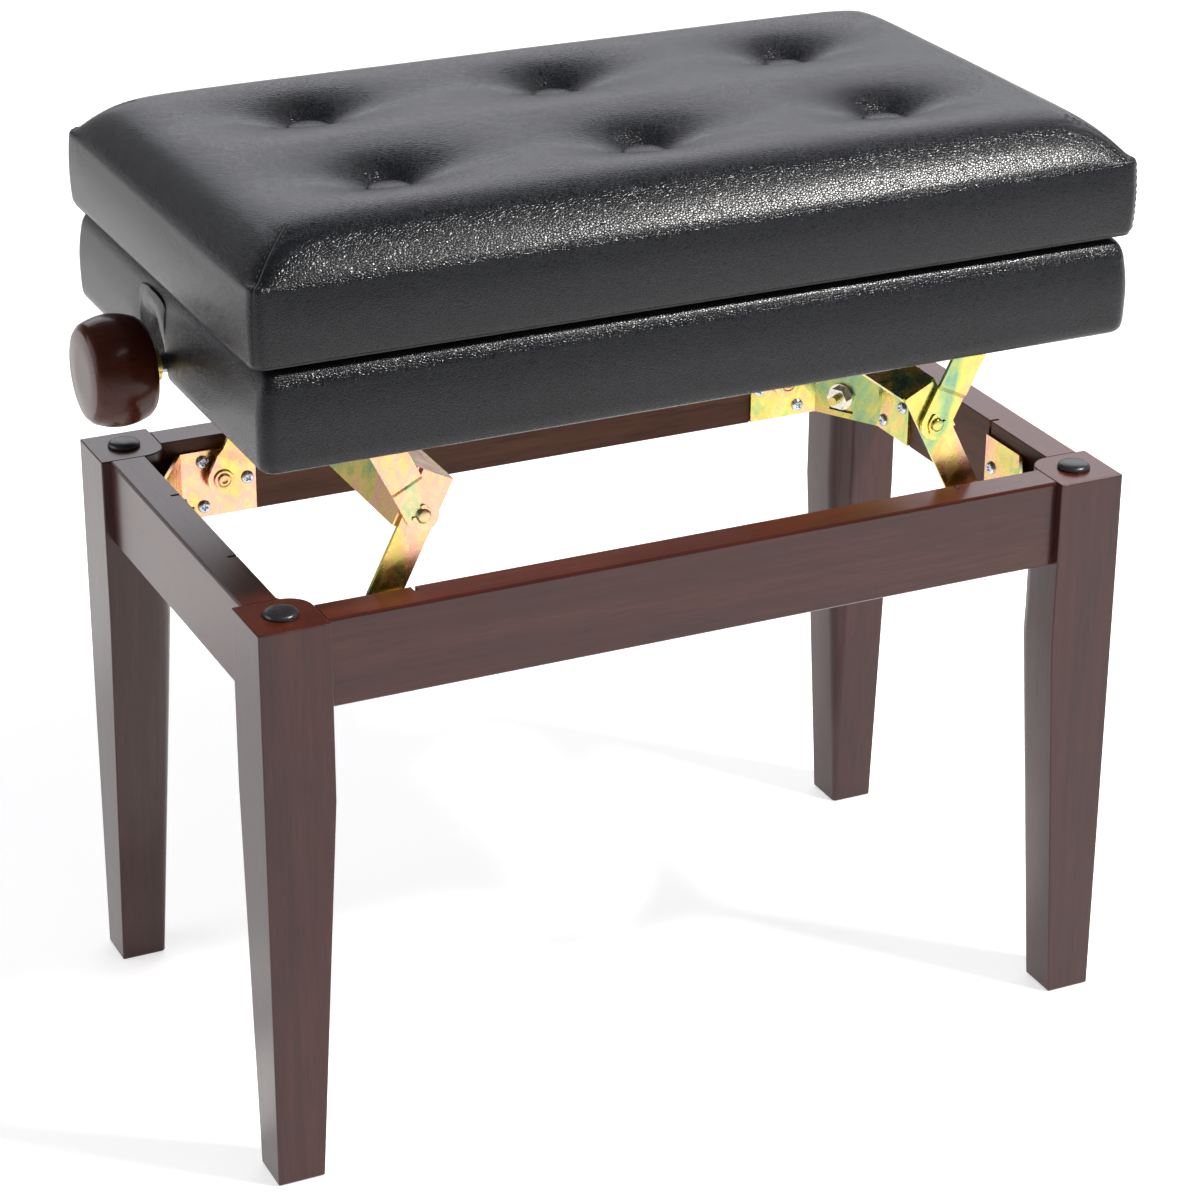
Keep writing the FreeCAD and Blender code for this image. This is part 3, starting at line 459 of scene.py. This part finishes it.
knob_profile = [(0.0, 0.3), (0.0, 12.0), (0.0, 24.8), (0.35, 25.9), (1.3, 27.0)]
for k in range(1, 24):
    t = k / 24
    swell = 5.0 * math.sin(math.pi * (0.04 + t * 0.92)) ** 0.85
    knob_profile.append((1.3 + t * 33.4, 27.0 + swell + 0.4 * t))
knob_profile += [(35.6, 27.0), (36.6, 25.8), (37.0, 24.2), (37.0, 12.0), (37.0, 6.0)]
knob = turned("turned_knob", knob_profile, (-320, 0, SCREW_Z), (1, 0, 0), KNOB_WOOD, "screw_and_knob",
              96)
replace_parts(knob, "knob")

# ---- threaded screw --------------------------------------------------------


def thread(name, x0, x1, radius, depth, pitch, hand):
    """A rod along X with a real helical thread."""
    count, step = 28, pitch / 6
    rings = []
    x = x0
    while x <= x1 + 1e-6:
        ring = []
        for k in range(count):
            turn = 2 * math.pi * k / count
            phase = (x / pitch + hand * k / count) % 1.0
            r = radius - depth * smoothstep(0.18, 0.42, abs(phase - 0.5))
            ring.append((x, float(r) * math.cos(turn), SCREW_Z + float(r) * math.sin(turn)))
        rings.append(ring)
        x += step
    verts, faces = loft(rings)
    return outward(add(name, verts, faces, PLAIN_STEEL, "screw_and_knob"))


threads = [thread("thread_left", -268, -19, 5.6, 1.1, 5.0, 1),
           thread("thread_right", 19, 165, 5.6, 1.1, 5.0, -1),
           turned("screw_middle", [(-38, 0.2), (-38, 5.4), (-19.5, 5.5), (-18.4, 5.5), (-18.3, 8.0),
                                   (-17.8, 8.5), (-13.5, 8.5), (-13, 8.0), (-12.9, 5.5), (12.9, 5.5),
                                   (13, 8.0), (13.5, 8.5), (17.5, 8.5), (18, 8.0), (18.1, 5.5),
                                   (20, 5.4), (20, 0.2)],
                  (0, 0, SCREW_Z), (1, 0, 0), PLAIN_STEEL, "screw_and_knob", 32),
           turned("screw_neck", [(-300, 0.2), (-300, 5.5), (-267, 5.6), (-266, 0.2)], (0, 0, SCREW_Z),
                  (1, 0, 0), PLAIN_STEEL, "screw_and_knob", 32)]
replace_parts(join("threaded_screw", threads), "lift_screw")

# ---- fasteners -------------------------------------------------------------


def phillips(name, seat, way, radius=4.2, height=2.4, spin=0.4):
    """A domed pan head with a cross recess, facing along way."""
    way = Vector(way).normalized()
    side = way.orthogonal().normalized()
    side = Matrix.Rotation(spin, 3, way) @ side
    other = way.cross(side)
    n = 30
    verts, faces, index = [], [], {}
    for i in range(n + 1):
        for j in range(n + 1):
            u, v = 2 * i / n - 1, 2 * j / n - 1
            x, y = u * math.sqrt(1 - v * v / 2), v * math.sqrt(1 - u * u / 2)
            rho = min(math.hypot(x, y), 1.0)
            z = height * (1 - rho ** 3.2) ** 0.5 if rho < 1 else 0.0
            px, py = abs(x) * radius, abs(y) * radius
            arm = 0.5 * radius
            cross = max(float(1 - smoothstep(0.42, 0.62, py)) * float(1 - smoothstep(arm - 0.3, arm, px)),
                        float(1 - smoothstep(0.42, 0.62, px)) * float(1 - smoothstep(arm - 0.3, arm, py)))
            z -= 1.5 * cross * (1 - 0.35 * rho)
            index[i, j] = len(verts)
            verts.append(tuple(Vector(seat) + side * x * radius + other * y * radius + way * max(z, 0.0)))
    for i in range(n):
        for j in range(n):
            faces.append((index[i, j], index[i + 1, j], index[i + 1, j + 1], index[i, j + 1]))
    return add(name, verts, faces, SCREW_STEEL, "stand")


# screws of each bracket: distance along the rail, and height
LONG_SCREWS = [(209, 339), (180, 324), (209, 309)]
END_SCREWS = [(80, 309), (56, 326)]
heads = []
for end, side, sx, sy in CORNERS:
    for k, (along, height) in enumerate(LONG_SCREWS):
        heads.append(phillips(f"head_{end}_{side}_{k}", (sx * along, sy * 128.5, height), (0, -sy, 0),
                              spin=random.uniform(0, 1.5)))
    for k, (along, height) in enumerate(END_SCREWS):
        heads.append(phillips(f"head_{end}_{side}_e{k}", (sx * 248, sy * along, height), (-sx, 0, 0),
                              spin=random.uniform(0, 1.5)))
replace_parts(join("pan_screw_heads", heads), "bracket_screws")

# ---- pivots -----------------------------------------------------------------

PITCH, REST = 73.0, math.radians(63.5)  # between the pivots of an arm, and its slope at rest
PIVOT_X, BASE_Z = 198.0, 328.3         # base pivots
REACH = Vector((PITCH * math.cos(REST), 0, PITCH * math.sin(REST)))


def pivot_spot(sx, k):
    """Middle of the base, mid or seat pivot of one link."""
    return Vector((PIVOT_X * sx - REACH.x * sx * (k == 1), 0, BASE_Z + REACH.z * k))


def flared(name, spot, way, ride):
    """A rivet head: a broad flat flange with a domed, flared end."""
    profile = [(-0.3, 6.3), (0.0, 6.5), (0.7, 6.5), (1.0, 6.2), (1.05, 4.7), (0.75, 4.4), (1.0, 4.1),
               (1.5, 3.9), (1.9, 3.3), (2.05, 2.4), (1.7, 1.9), (1.45, 1.2), (1.4, 0.1)]
    return turned(name, profile, spot, way, ZINC, ride, 36)


def spacer(name, spot, way, length, ride, radius=6.4):
    """A plain collar or shank of a rivet."""
    profile = [(0.0, 0.2), (0.0, radius - 0.3), (0.3, radius), (length - 0.3, radius),
               (length, radius - 0.3), (length, 0.2)]
    return turned(name, profile, spot, way, ZINC, ride, 36)


def circlip(name, spot, way, ride, spin):
    """A spring clip with two prongs and a lug, sitting in the groove of a pin."""
    way = Vector(way)
    side = Matrix.Rotation(spin, 3, way) @ Vector((0, 0, 1))
    other = way.cross(side)
    rings, count = [], 72
    for k in range(count + 1):
        t = math.radians(38) + (2 * math.pi - math.radians(76)) * k / count
        lobe = max(math.exp(-((t - c) / 0.30) ** 2) for c in (math.radians(52), math.pi, math.radians(308)))
        inner = 4.35 - 0.6 * math.exp(-((t - math.pi) / 0.35) ** 2)
        outer = 5.6 + 1.3 * lobe
        out = side * math.cos(t) + other * math.sin(t)
        rings.append([tuple(Vector(spot) + out * radius + way * lift)
                      for radius, lift in ((inner, 0.0), (outer, 0.0), (outer, 0.9), (inner, 0.9))])
    verts, faces = loft(rings)
    return bevel(outward(add(name, verts, faces, ZINC, ride, smooth=False)), 0.15, 2)


base_rivets, seat_rivets = [], []
for end, side, sx, sy in CORNERS:
    base, seat = pivot_spot(sx, 0), pivot_spot(sx, 2)
    y_way = Vector((0, sy, 0))
    base_rivets += [flared(f"b1_{end}_{side}", base + y_way * 120.9, -y_way, "stand"),
                    spacer(f"b2_{end}_{side}", base + y_way * 123.6, y_way, 4.8, "stand"),
                    spacer(f"b3_{end}_{side}", base + y_way * 120.5, y_way, 10.0, "stand", 3.95)]
    seat_rivets += [flared(f"s1_{end}_{side}", seat + y_way * 122.1, -y_way, "seat_box"),
                    spacer(f"s2_{end}_{side}", seat + y_way * 124.8, y_way, 1.7, "seat_box"),
                    spacer(f"s3_{end}_{side}", seat + y_way * 121.0, y_way, 8.0, "seat_box", 3.95),
                    flared(f"s4_{end}_{side}", seat + y_way * 128.5, y_way, "seat_box")]
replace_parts(join("base_rivets", base_rivets), "base_pivot_rivets")
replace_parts(join("seat_rivets", seat_rivets), "seat_pivot_rivets")
for side, sx in SIDES.items():
    middle, parts = pivot_spot(sx, 1), []
    for end, sy in ENDS.items():
        y_way, ride = Vector((0, sy, 0)), f"{side}_lower_link"
        shank = [(-9.0, 0.2), (-9.0, 3.9), (0.9, 3.9), (1.0, 3.3), (1.6, 3.3), (1.7, 3.9), (2.2, 3.7),
                 (2.5, 3.0), (2.6, 0.2)]
        parts += [turned(f"m1_{end}_{side}", shank, middle + y_way * 123.6, y_way, ZINC, ride,
                         36),
                  flared(f"m2_{end}_{side}", middle + y_way * 117.8, -y_way, ride)]
    mid = join(f"{side}_mid_pins", parts)
    clips = [circlip(f"{side}_clip_{end}", middle + Vector((0, sy * 123.75, 0)), Vector((0, sy, 0)),
                     f"{side}_lower_link", 0.9 if sx < 0 else -0.6) for end, sy in ENDS.items()]
    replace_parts(mid, f"{side}_mid_rivets")

# ---- upholstery ------------------------------------------------------------

NX, NY = 138, 80           # cells across the top of the cushion


def even(count):
    """Equal shares of one side, without its end."""
    return [k / count for k in range(count)]


def perimeter(hx, hy, radius, sides, corner=16.0):
    """Points round a rounded rectangle; sides holds the shares along each of its four sides."""
    result = []
    starts = (((-1, -1), (1, 0), hx), ((1, -1), (0, 1), hy), ((1, 1), (-1, 0), hx), ((-1, 1), (0, -1), hy))
    for ((cx, cy), (dx, dy), length), shares in zip(starts, sides):
        for share in shares:
            s = 2 * length * share
            from_end = min(s, 2 * length - s)
            if from_end >= corner:
                t = radius + (from_end - corner) * (length - radius) / (length - corner)
                t = t if s <= length else 2 * length - t
                result.append((cx * hx + dx * t, cy * hy + dy * t))
                continue
            # round the corner that this point is nearest, half of it for each side
            ox, oy = (cx, cy) if s <= length else (cx + 2 * dx, cy + 2 * dy)
            angle = (0.5 - 0.5 * from_end / corner) * math.pi / 2
            n_next = (ox * abs(dx), oy * abs(dy))
            out_x = dy * math.cos(angle) + n_next[0] * math.sin(angle)
            out_y = -dx * math.cos(angle) + n_next[1] * math.sin(angle)
            result.append((ox * (hx - radius) + radius * out_x, oy * (hy - radius) + radius * out_y))
    return result


TUFTS = [(tx, ty) for tx in (-157, 0, 157) for ty in (-62, 62)]
LID_X, LID_Y = 275.0, 158.9


def slope(d):
    """Height of the cushion at a distance in from its side, before the tufting."""
    d = np.clip(d, 0.0, 44.0)
    return 552.6 + 23.4 * (1 - (1 - d / 44.0) ** 2.3)


def wells(x, y):
    """How far the buttons pull the cushion down."""
    sink = np.zeros_like(x)
    for tx, ty in TUFTS:
        u, v = x - tx, y - ty
        broad = np.exp(-(u / 46.0) ** 2 - (v / 25.0) ** 2)
        narrow = np.exp(-(np.hypot(u, v) / 17.0) ** 2.4)
        sink += 13.0 * broad + 5.0 * narrow
    return sink


def cushion_mesh():
    """Skin of the cushion: fold under the board, flat side, shoulder and crowned top."""
    inset = 27.0
    rings = [(14.0, 509.4), (7.0, 508.6), (3.4, 508.3), (1.5, 508.6), (0.5, 509.6), (0.1, 511.2)]
    rings += [(-0.7 * math.sin(math.pi * k / 9), 511.2 + k / 9 * 39.0) for k in range(1, 10)]
    rings += [(0.15, 551.4), (0.8, 552.9)]
    rings += [(d, float(slope(d))) for d in (2.2, 4.4, 7.4, 11.0, 15.0, 19.0, 23.0)]
    sides = [even(NX), even(NY), even(NX), even(NY)]
    verts, rows = [], []
    for d, z in rings:
        ring = perimeter(LID_X - d, LID_Y - d, max(8.0 - max(d, 0) * 0.25, 3.0), sides)
        rows.append([len(verts) + k for k in range(len(ring))])
        verts += [(x, y, z) for x, y in ring]
    ix, iy = LID_X - inset, LID_Y - inset
    grid = {}
    for j in range(NY + 1):
        for i in range(NX + 1):
            grid[i, j] = len(verts)
            verts.append((-ix + 2 * ix * i / NX, -iy + 2 * iy * j / NY, 576.0))
    rows.append([grid[i, 0] for i in range(NX)] + [grid[NX, j] for j in range(NY)]
                + [grid[NX - i, NY] for i in range(NX)] + [grid[0, NY - j] for j in range(NY)])
    faces, n = [], len(rows[-1])
    for low, high in zip(rows, rows[1:]):
        faces += [(low[k], low[(k + 1) % n], high[(k + 1) % n], high[k]) for k in range(n)]
    faces += [(grid[i, j], grid[i + 1, j], grid[i + 1, j + 1], grid[i, j + 1])
              for j in range(NY) for i in range(NX)]
    p = np.array(verts)
    x, y = p[:, 0], p[:, 1]
    edge = np.minimum(LID_X - np.abs(x), LID_Y - np.abs(y))
    # the slopes of two sides run into each other softly at a corner
    soft = -8.0 * np.logaddexp(-(LID_X - np.abs(x)) / 8.0, -(LID_Y - np.abs(y)) / 8.0)
    top = p[:, 2] > 553.2
    p[top, 2] = np.maximum(slope(soft[top]), np.minimum(553.0 + 0.15 * edge[top], 560.0))
    crown = 3.6 * (1 - (x / LID_X) ** 4) * (1 - (y / LID_Y) ** 4)
    p[:, 2] += crown * smoothstep(552, 570, p[:, 2])
    flat = p.copy()
    p[:, 2] -= wells(x, y) * smoothstep(2.0, 30.0, edge) * (p[:, 2] > 553)
    return flat, p, faces, edge


def inflated(flat, start, faces, edge):
    """Blows the skin up as cloth, held by the board and by the buttons."""
    mesh = bpy.data.meshes.new("skin")
    mesh.from_pydata([tuple(v) for v in start * MM], [], faces)
    skin = bpy.data.objects.new("skin", mesh)
    bpy.context.scene.collection.objects.link(skin)
    skin.shape_key_add(name="Basis")
    cut = skin.shape_key_add(name="cut")
    cut.data.foreach_set("co", (flat * MM * 1.004).ravel())
    reach = np.min([np.hypot(start[:, 0] - tx, start[:, 1] - ty) for tx, ty in TUFTS], axis=0)
    held = skin.vertex_groups.new(name="held")
    fixed = (start[:, 2] < 513) | ((reach < 12.5) & (edge > 30))
    held.add([int(i) for i in np.nonzero(fixed)[0]], 1.0, "REPLACE")
    mod = skin.modifiers.new("cloth", "CLOTH")
    cloth = mod.settings
    cloth.quality, cloth.mass, cloth.air_damping = 7, 0.25, 4.0
    cloth.tension_stiffness = cloth.compression_stiffness = 30.0
    cloth.shear_stiffness, cloth.bending_stiffness = 12.0, 3.0
    cloth.tension_damping = cloth.compression_damping = cloth.shear_damping = 12.0
    cloth.vertex_group_mass = "held"
    cloth.rest_shape_key = cut
    cloth.use_pressure, cloth.uniform_pressure_force = True, 4.0
    cloth.effector_weights.gravity = 0.0
    mod.collision_settings.use_collision = False
    mod.point_cache.frame_start, mod.point_cache.frame_end = 1, 22
    for frame_number in range(1, 23):
        bpy.context.scene.frame_set(frame_number)
    shown = skin.evaluated_get(bpy.context.evaluated_depsgraph_get()).to_mesh()
    blown = np.empty(len(start) * 3)
    shown.vertices.foreach_get("co", blown)
    bpy.context.scene.frame_set(1)
    bpy.data.objects.remove(skin)
    move = blown.reshape(-1, 3) / MM - start
    # the padding under the leather evens out small ripples
    links = np.array([(face[k], face[k - 1]) for face in faces for k in range(len(face))])
    links = np.concatenate([links, links[:, ::-1]])
    count = np.bincount(links[:, 0], minlength=len(start))[:, None]
    for _ in range(14):
        near = np.stack([np.bincount(links[:, 0], move[links[:, 1], k], len(start)) for k in range(3)],
                        axis=1)
        move = 0.4 * move + 0.6 * near / count
    length = np.linalg.norm(move, axis=1)
    cap = 0.9 + 7.0 * smoothstep(6.0, 34.0, edge) * (start[:, 2] > 553)
    print("cushion moved", round(float(length.max()), 1), "mm, mean", round(float(length.mean()), 2))
    return start + move * (cap * np.tanh(length / cap) / np.maximum(length, 1e-9))[:, None]


DART = 34.0                # how far the corner seams run in over the top


def seam_offset(p):
    """Distance of each point from the nearest corner seam, in plan."""
    dx, dy = LID_X - np.abs(p[:, 0]), LID_Y - np.abs(p[:, 1])
    return np.where(np.maximum(dx, dy) < DART, np.abs(dx - dy) / math.sqrt(2), 99.0)


flat, start, faces, edge = cushion_mesh()
p = inflated(flat, start, faces, edge)
# the corner seams pull the leather in along a narrow line
pull = np.exp(-(seam_offset(p) / 1.5) ** 2) * (p[:, 2] > 509)
middle = np.array([0.0, 0.0, 480.0])
inwards = (middle - p) / np.linalg.norm(middle - p, axis=1)[:, None]
p = p + inwards * pull[:, None] * 0.7
cover = add("cushion_leather", p.tolist(), faces, LEATHER, "lid")
smoother = cover.modifiers.new("smooth", "SUBSURF")
smoother.levels = smoother.render_levels = 1
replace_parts(cover, "cushion_cover", "cushion_foam")


def surface_of(obj):
    """The shown surface as a tree to cast rays at, in row metres."""
    return BVHTree.FromObject(obj, bpy.context.evaluated_depsgraph_get())


def seam_line(tree, sx, sy):
    """Points and normals along one corner seam, from the top of the dart to the lid's edge."""
    line = []
    for k in range(60):
        s = DART - (DART - 3.2) * k / 59
        hit = tree.ray_cast(at(sx * (LID_X - s), sy * (LID_Y - s), 620), Vector((0, 0, -1)))
        line.append(hit[:2])
    way = Vector((-sx, -sy, 0)).normalized()
    for k in range(70):
        z = 551.0 - (551.0 - 510.5) * k / 69
        hit = tree.ray_cast(at(sx * (LID_X + 20), sy * (LID_Y + 20), z), way)
        line.append(hit[:2])
    return [(a, b) for a, b in line if a is not None]


def tube(points, radius, count=8):
    """Rings of a tube along row-frame points, as shifted millimetres."""
    rings, side = [], None
    for i, point in enumerate(points):
        way = (points[min(i + 1, len(points) - 1)] - points[max(i - 1, 0)]).normalized()
        side = way.orthogonal() if side is None else side
        side = (side - way * side.dot(way)).normalized()
        other = way.cross(side)
        rings.append([tuple((point + (side * math.cos(t) + other * math.sin(t)) * radius * MM - SHIFT) / MM)
                      for t in (2 * math.pi * k / count for k in range(count))])
    return loft(rings)


def many(name, pieces, mat, ride):
    """One piece from a list of (verts, faces)."""
    verts, faces = [], []
    for v, f in pieces:
        faces += [tuple(i + len(verts) for i in face) for face in f]
        verts += v
    return add(name, verts, faces, mat, ride)


def stitches(line, aside, pitch=4.2, length=2.9, radius=0.26):
    """Short threads beside a seam, each dipping into the leather at its ends."""
    pieces, walk, travelled = [], [], 0.0
    for (a, na), (b, _) in zip(line, line[1:]):
        walk.append((travelled, a, na, (b - a)))
        travelled += (b - a).length / MM
    goal = 1.5
    for travelled, a, na, step in walk:
        if travelled < goal:
            continue
        goal += pitch
        way = step.normalized()
        side = way.cross(na).normalized()
        middle = a + side * aside * MM
        points = []
        for k in range(7):
            t = k / 6 - 0.5
            points.append(middle + way * t * length * MM + na * (0.02 - 2.0 * t * t) * MM)
        pieces.append(tube(points, radius, 6))
    return pieces


tree = surface_of(cover)
seam_pieces, thread_pieces = [], []
for end, side, sx, sy in CORNERS:
    line = seam_line(tree, sx, sy)
    seam_pieces.append(tube([a - n * 0.15 * MM for a, n in line], 0.34))
    thread_pieces += stitches(line, -2.0 * sx * sy) + stitches(line, 2.0 * sx * sy)
many("cushion_seams", seam_pieces, THREAD, "lid")
many("cushion_stitches", thread_pieces, THREAD, "lid")


def button(i, tx, ty):
    """A leather-covered button pulled down into its well."""
    rim = [tree.ray_cast(at(tx + 11 * math.cos(t), ty + 11 * math.sin(t), 620), Vector((0, 0, -1)))[0].z / MM
           for t in (0.3, 1.9, 3.4, 5.0)]
    base = sum(rim) / 4
    profile = [(-2.0, 12.2), (-0.4, 12.9), (0.8, 13.0), (1.7, 12.5), (2.4, 11.1), (2.9, 8.8),
               (3.2, 5.6), (3.35, 2.4), (3.35, 0.1)]
    return turned(f"button_{i}", profile, (tx, ty, base), (0, 0, 1), LEATHER, "lid", 40)


buttons = [button(i, tx, ty) for i, (tx, ty) in enumerate(TUFTS)]
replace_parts(join("leather_buttons", buttons), "tufting_buttons")

# ---- box cover --------------------------------------------------------------

BOX_X, BOX_Y = 272.0, 160.0
BOX_Z, BOX_HEIGHT = 447, 58.0
NOTCH = 18.0               # middle of the notch


def crease(y, z):
    """The pulled fold that runs from the top of the notch up to the rim."""
    u = 33.5 - 14.7 * ((z - 482.0) / 17.7) ** 2 - y
    here = smoothstep(466, 476, z) * (1 - smoothstep(496, 504, z))
    return here * (0.75 - 0.02 * (z - 474)) * np.exp(-(u / 13.0) ** 2) * (-0.2 + np.tanh(u / 3.0))


def box_leather():
    """Leather round the box: under the bottom edge, up the side, over the top and down inside."""
    profile = [(17.2, 1.0, 0), (13.0, 0.6, 0), (9.0, 0.3, 0), (5.6, 0.3, 0), (3.4, 0.9, 0), (1.7, 2.2, 0),
               (0.6, 4.2, 0), (0.1, 7.0, 0)]
    for k in range(1, 25):
        h = 7.0 + k / 25 * 38.0
        profile.append((1.2 * max(0.0, (h - 25) / 20) ** 2 - 0.45 * math.sin(math.pi * k / 25), h, 1))
    for k in range(13):
        t = math.radians(9 + 81 * k / 12)
        profile.append((1.2 + 9.0 * (0.9877 - math.cos(t)), 45.0 + 15.2 * (math.sin(t) - 0.1564), 2))
    profile += [(13.0, 57.8, 2), (16.5, 57.6, 2), (18.6, 57.0, 2), (19.7, 55.6, 2), (20.0, 53.0, 2),
                (20.0, 45.0, 2), (20.0, 33.5, 2)]
    dense = [k / 40 * 0.36 for k in range(40)] + [0.36 + k / 110 * 0.28 for k in range(110)] \
        + [0.64 + k / 40 * 0.36 for k in range(40)]
    sides = [even(120), even(70), even(120), dense]
    points, rows = [], []
    for inset, h, part in profile:
        ring = perimeter(BOX_X - inset, BOX_Y - inset, max(9.0 - max(inset, 0) * 0.45, 0.8), sides)
        rows.append([len(points) + k for k in range(len(ring))])
        points += [(x, y, BOX_Z + h, inset, h, part) for x, y in ring]
    q = np.array(points)
    x, y, z, inset, h, part = q.T
    near = (x < -BOX_X + 21) & (np.abs(y) < 145)
    arch = np.clip(1 - (np.abs(y - NOTCH) / 23.0) ** 2.4, 0, 1) ** 0.42
    rise = np.where(near, 27.0 * arch, 0.0)
    z = np.where(part < 2, BOX_Z + rise + h * (BOX_HEIGHT - rise) / BOX_HEIGHT, z)
    # the mouth curves inwards like a shallow cove towards the back
    cove = np.exp(-(np.abs(y - NOTCH - 9.0) / 17.0) ** 3) * np.clip(1 - h / 36.0, 0, 1) ** 1.5
    x = x + np.where(near & (part < 2), 6.0 * cove, 0.0)
    x = x - np.where(near & (part >= 1), crease(y, z), 0.0)
    faces, n = [], len(rows[0])
    for low, high in zip(rows, rows[1:]):
        faces += [(low[k], low[(k + 1) % n], high[(k + 1) % n], high[k]) for k in range(n)]
    return np.stack([x, y, z], axis=1).tolist(), faces


verts, faces = box_leather()
box_cover = add("box_leather", verts, faces, LEATHER, "seat_box")
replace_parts(box_cover, "box_cover")


def wall(name, blocks):
    """A plywood wall of one or more blocks, set back under the rolled leather."""
    verts, faces = [], []
    for (x0, x1), (y0, y1), (z0, z1) in blocks:
        n = len(verts)
        verts += [(x, y, z) for z in (z0, z1) for x, y in ((x0, y0), (x1, y0), (x1, y1), (x0, y1))]
        faces += [tuple(n + i for i in face) for face in
                  ((3, 2, 1, 0), (4, 5, 6, 7), (0, 1, 5, 4), (1, 2, 6, 5), (2, 3, 7, 6), (3, 0, 4, 7))]
    obj = outward(add("ply_" + name, verts, faces, PLY, "seat_box", smooth=False))
    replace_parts(bevel(obj, 0.5, 2), name)


HIGH = (449.5, 499.0)      # bottom and top of the walls
wall("box_wall_front", [((-266, 266), (-154, -140.4), HIGH)])
wall("box_wall_rear", [((-266, 266), (140.4, 154), HIGH)])
wall("box_wall_right", [((252.4, 266), (-140.4, 140.4), HIGH)])
wall("box_wall_left", [((-263, -252.4), (-140.4, -9.6), HIGH), ((-263, -252.4), (45, 140.4), HIGH),
                       ((-263, -252.4), (-9.6, 45), (483, 499.0))])

# ---- stage, light and camera -------------------------------------------------

floor_mat = Nodes("pale_floor", rough=0.6, color=(0.86, 0.86, 0.86))
floor_mat.color(floor_mat.ramp(floor_mat.noise(3.0, 2.0), (0.3, (0.84, 0.84, 0.84)),
                               (0.7, (0.88, 0.88, 0.88))))
floor_mat.shader.inputs["Emission Color"].default_value = (1, 1, 1, 1)
floor_mat.shader.inputs["Emission Strength"].default_value = 0.62
bpy.ops.mesh.primitive_plane_add(size=14, location=(0, 0, -0.0005))
floor = bpy.context.object
floor.name = "floor"
floor.data.materials.append(floor_mat.mat)

world = bpy.data.worlds.new("studio")
bpy.context.scene.world = world
world.use_nodes = True
links, nodes_of_world = world.node_tree.links, world.node_tree.nodes
direction, height, sky = (nodes_of_world.new(kind) for kind in
                          ("ShaderNodeTexCoord", "ShaderNodeSeparateXYZ", "ShaderNodeValToRGB"))
links.new(direction.outputs["Generated"], height.inputs[0])
links.new(height.outputs["Z"], sky.inputs["Fac"])
links.new(sky.outputs["Color"], nodes_of_world["Background"].inputs["Color"])
for stop, (place, value) in zip(sky.color_ramp.elements, ((0.02, 0.62), (0.20, 0.13))):
    stop.position, stop.color = place, (value, value, value, 1)
bpy.context.scene.view_settings.view_transform = "Standard"


def softbox(name, place, aim, size, radiance, color=(1, 1, 1)):
    """A rectangular light that looks as bright as radiance, whatever its size."""
    light = bpy.data.lights.new(name, "AREA")
    light.shape = "RECTANGLE"
    light.size, light.size_y = size
    light.energy = radiance * math.pi * size[0] * size[1]
    light.color = color
    obj = bpy.data.objects.new(name, light)
    bpy.context.scene.collection.objects.link(obj)
    obj.location = place
    obj.rotation_euler = (Vector(aim) - Vector(place)).to_track_quat("-Z", "Y").to_euler()
    return obj


softbox("back_light", (1.8, 3.4, 2.35), (0.1, 0, 0.5), (5.5, 2.2), 1.8, (0.97, 0.98, 1.04))
softbox("left_light", (-2.8, 0.9, 1.1), (0, 0, 0.4), (2.4, 1.8), 2.1, (1.0, 0.97, 1.03))
softbox("key_light", (1.29, -1.22, 2.40), (0, -0.15, 0.55), (0.50, 0.22), 290.0, (1.0, 0.975, 0.94))
softbox("strip_light", (0.45, -1.22, 2.40), (0, -0.15, 0.55), (1.9, 0.16), 4.5, (1.0, 0.975, 0.94))

yaw, pitch, roll = math.radians(25.51), math.radians(-24.59), math.radians(0.37)
forward = Vector((math.sin(yaw) * math.cos(pitch), math.cos(yaw) * math.cos(pitch), math.sin(pitch)))
right = Vector((math.cos(yaw), -math.sin(yaw), 0))
up = right.cross(forward)
right, up = right * math.cos(roll) + up * math.sin(roll), up * math.cos(roll) - right * math.sin(roll)
camera_data = bpy.data.cameras.new("camera")
camera = bpy.data.objects.new("camera", camera_data)
bpy.context.scene.collection.objects.link(camera)
turn = Matrix((right, up, -forward)).transposed().to_4x4()
camera.matrix_world = Matrix.Translation(at(-858.5, -1812.3, 1177.4)) @ turn
camera_data.sensor_width = 36
camera_data.lens = 3548.5 / 1200 * camera_data.sensor_width
camera_data.shift_x, camera_data.shift_y = -0.0043, -0.0013
camera_data.clip_end = 50
bpy.context.scene.camera = camera
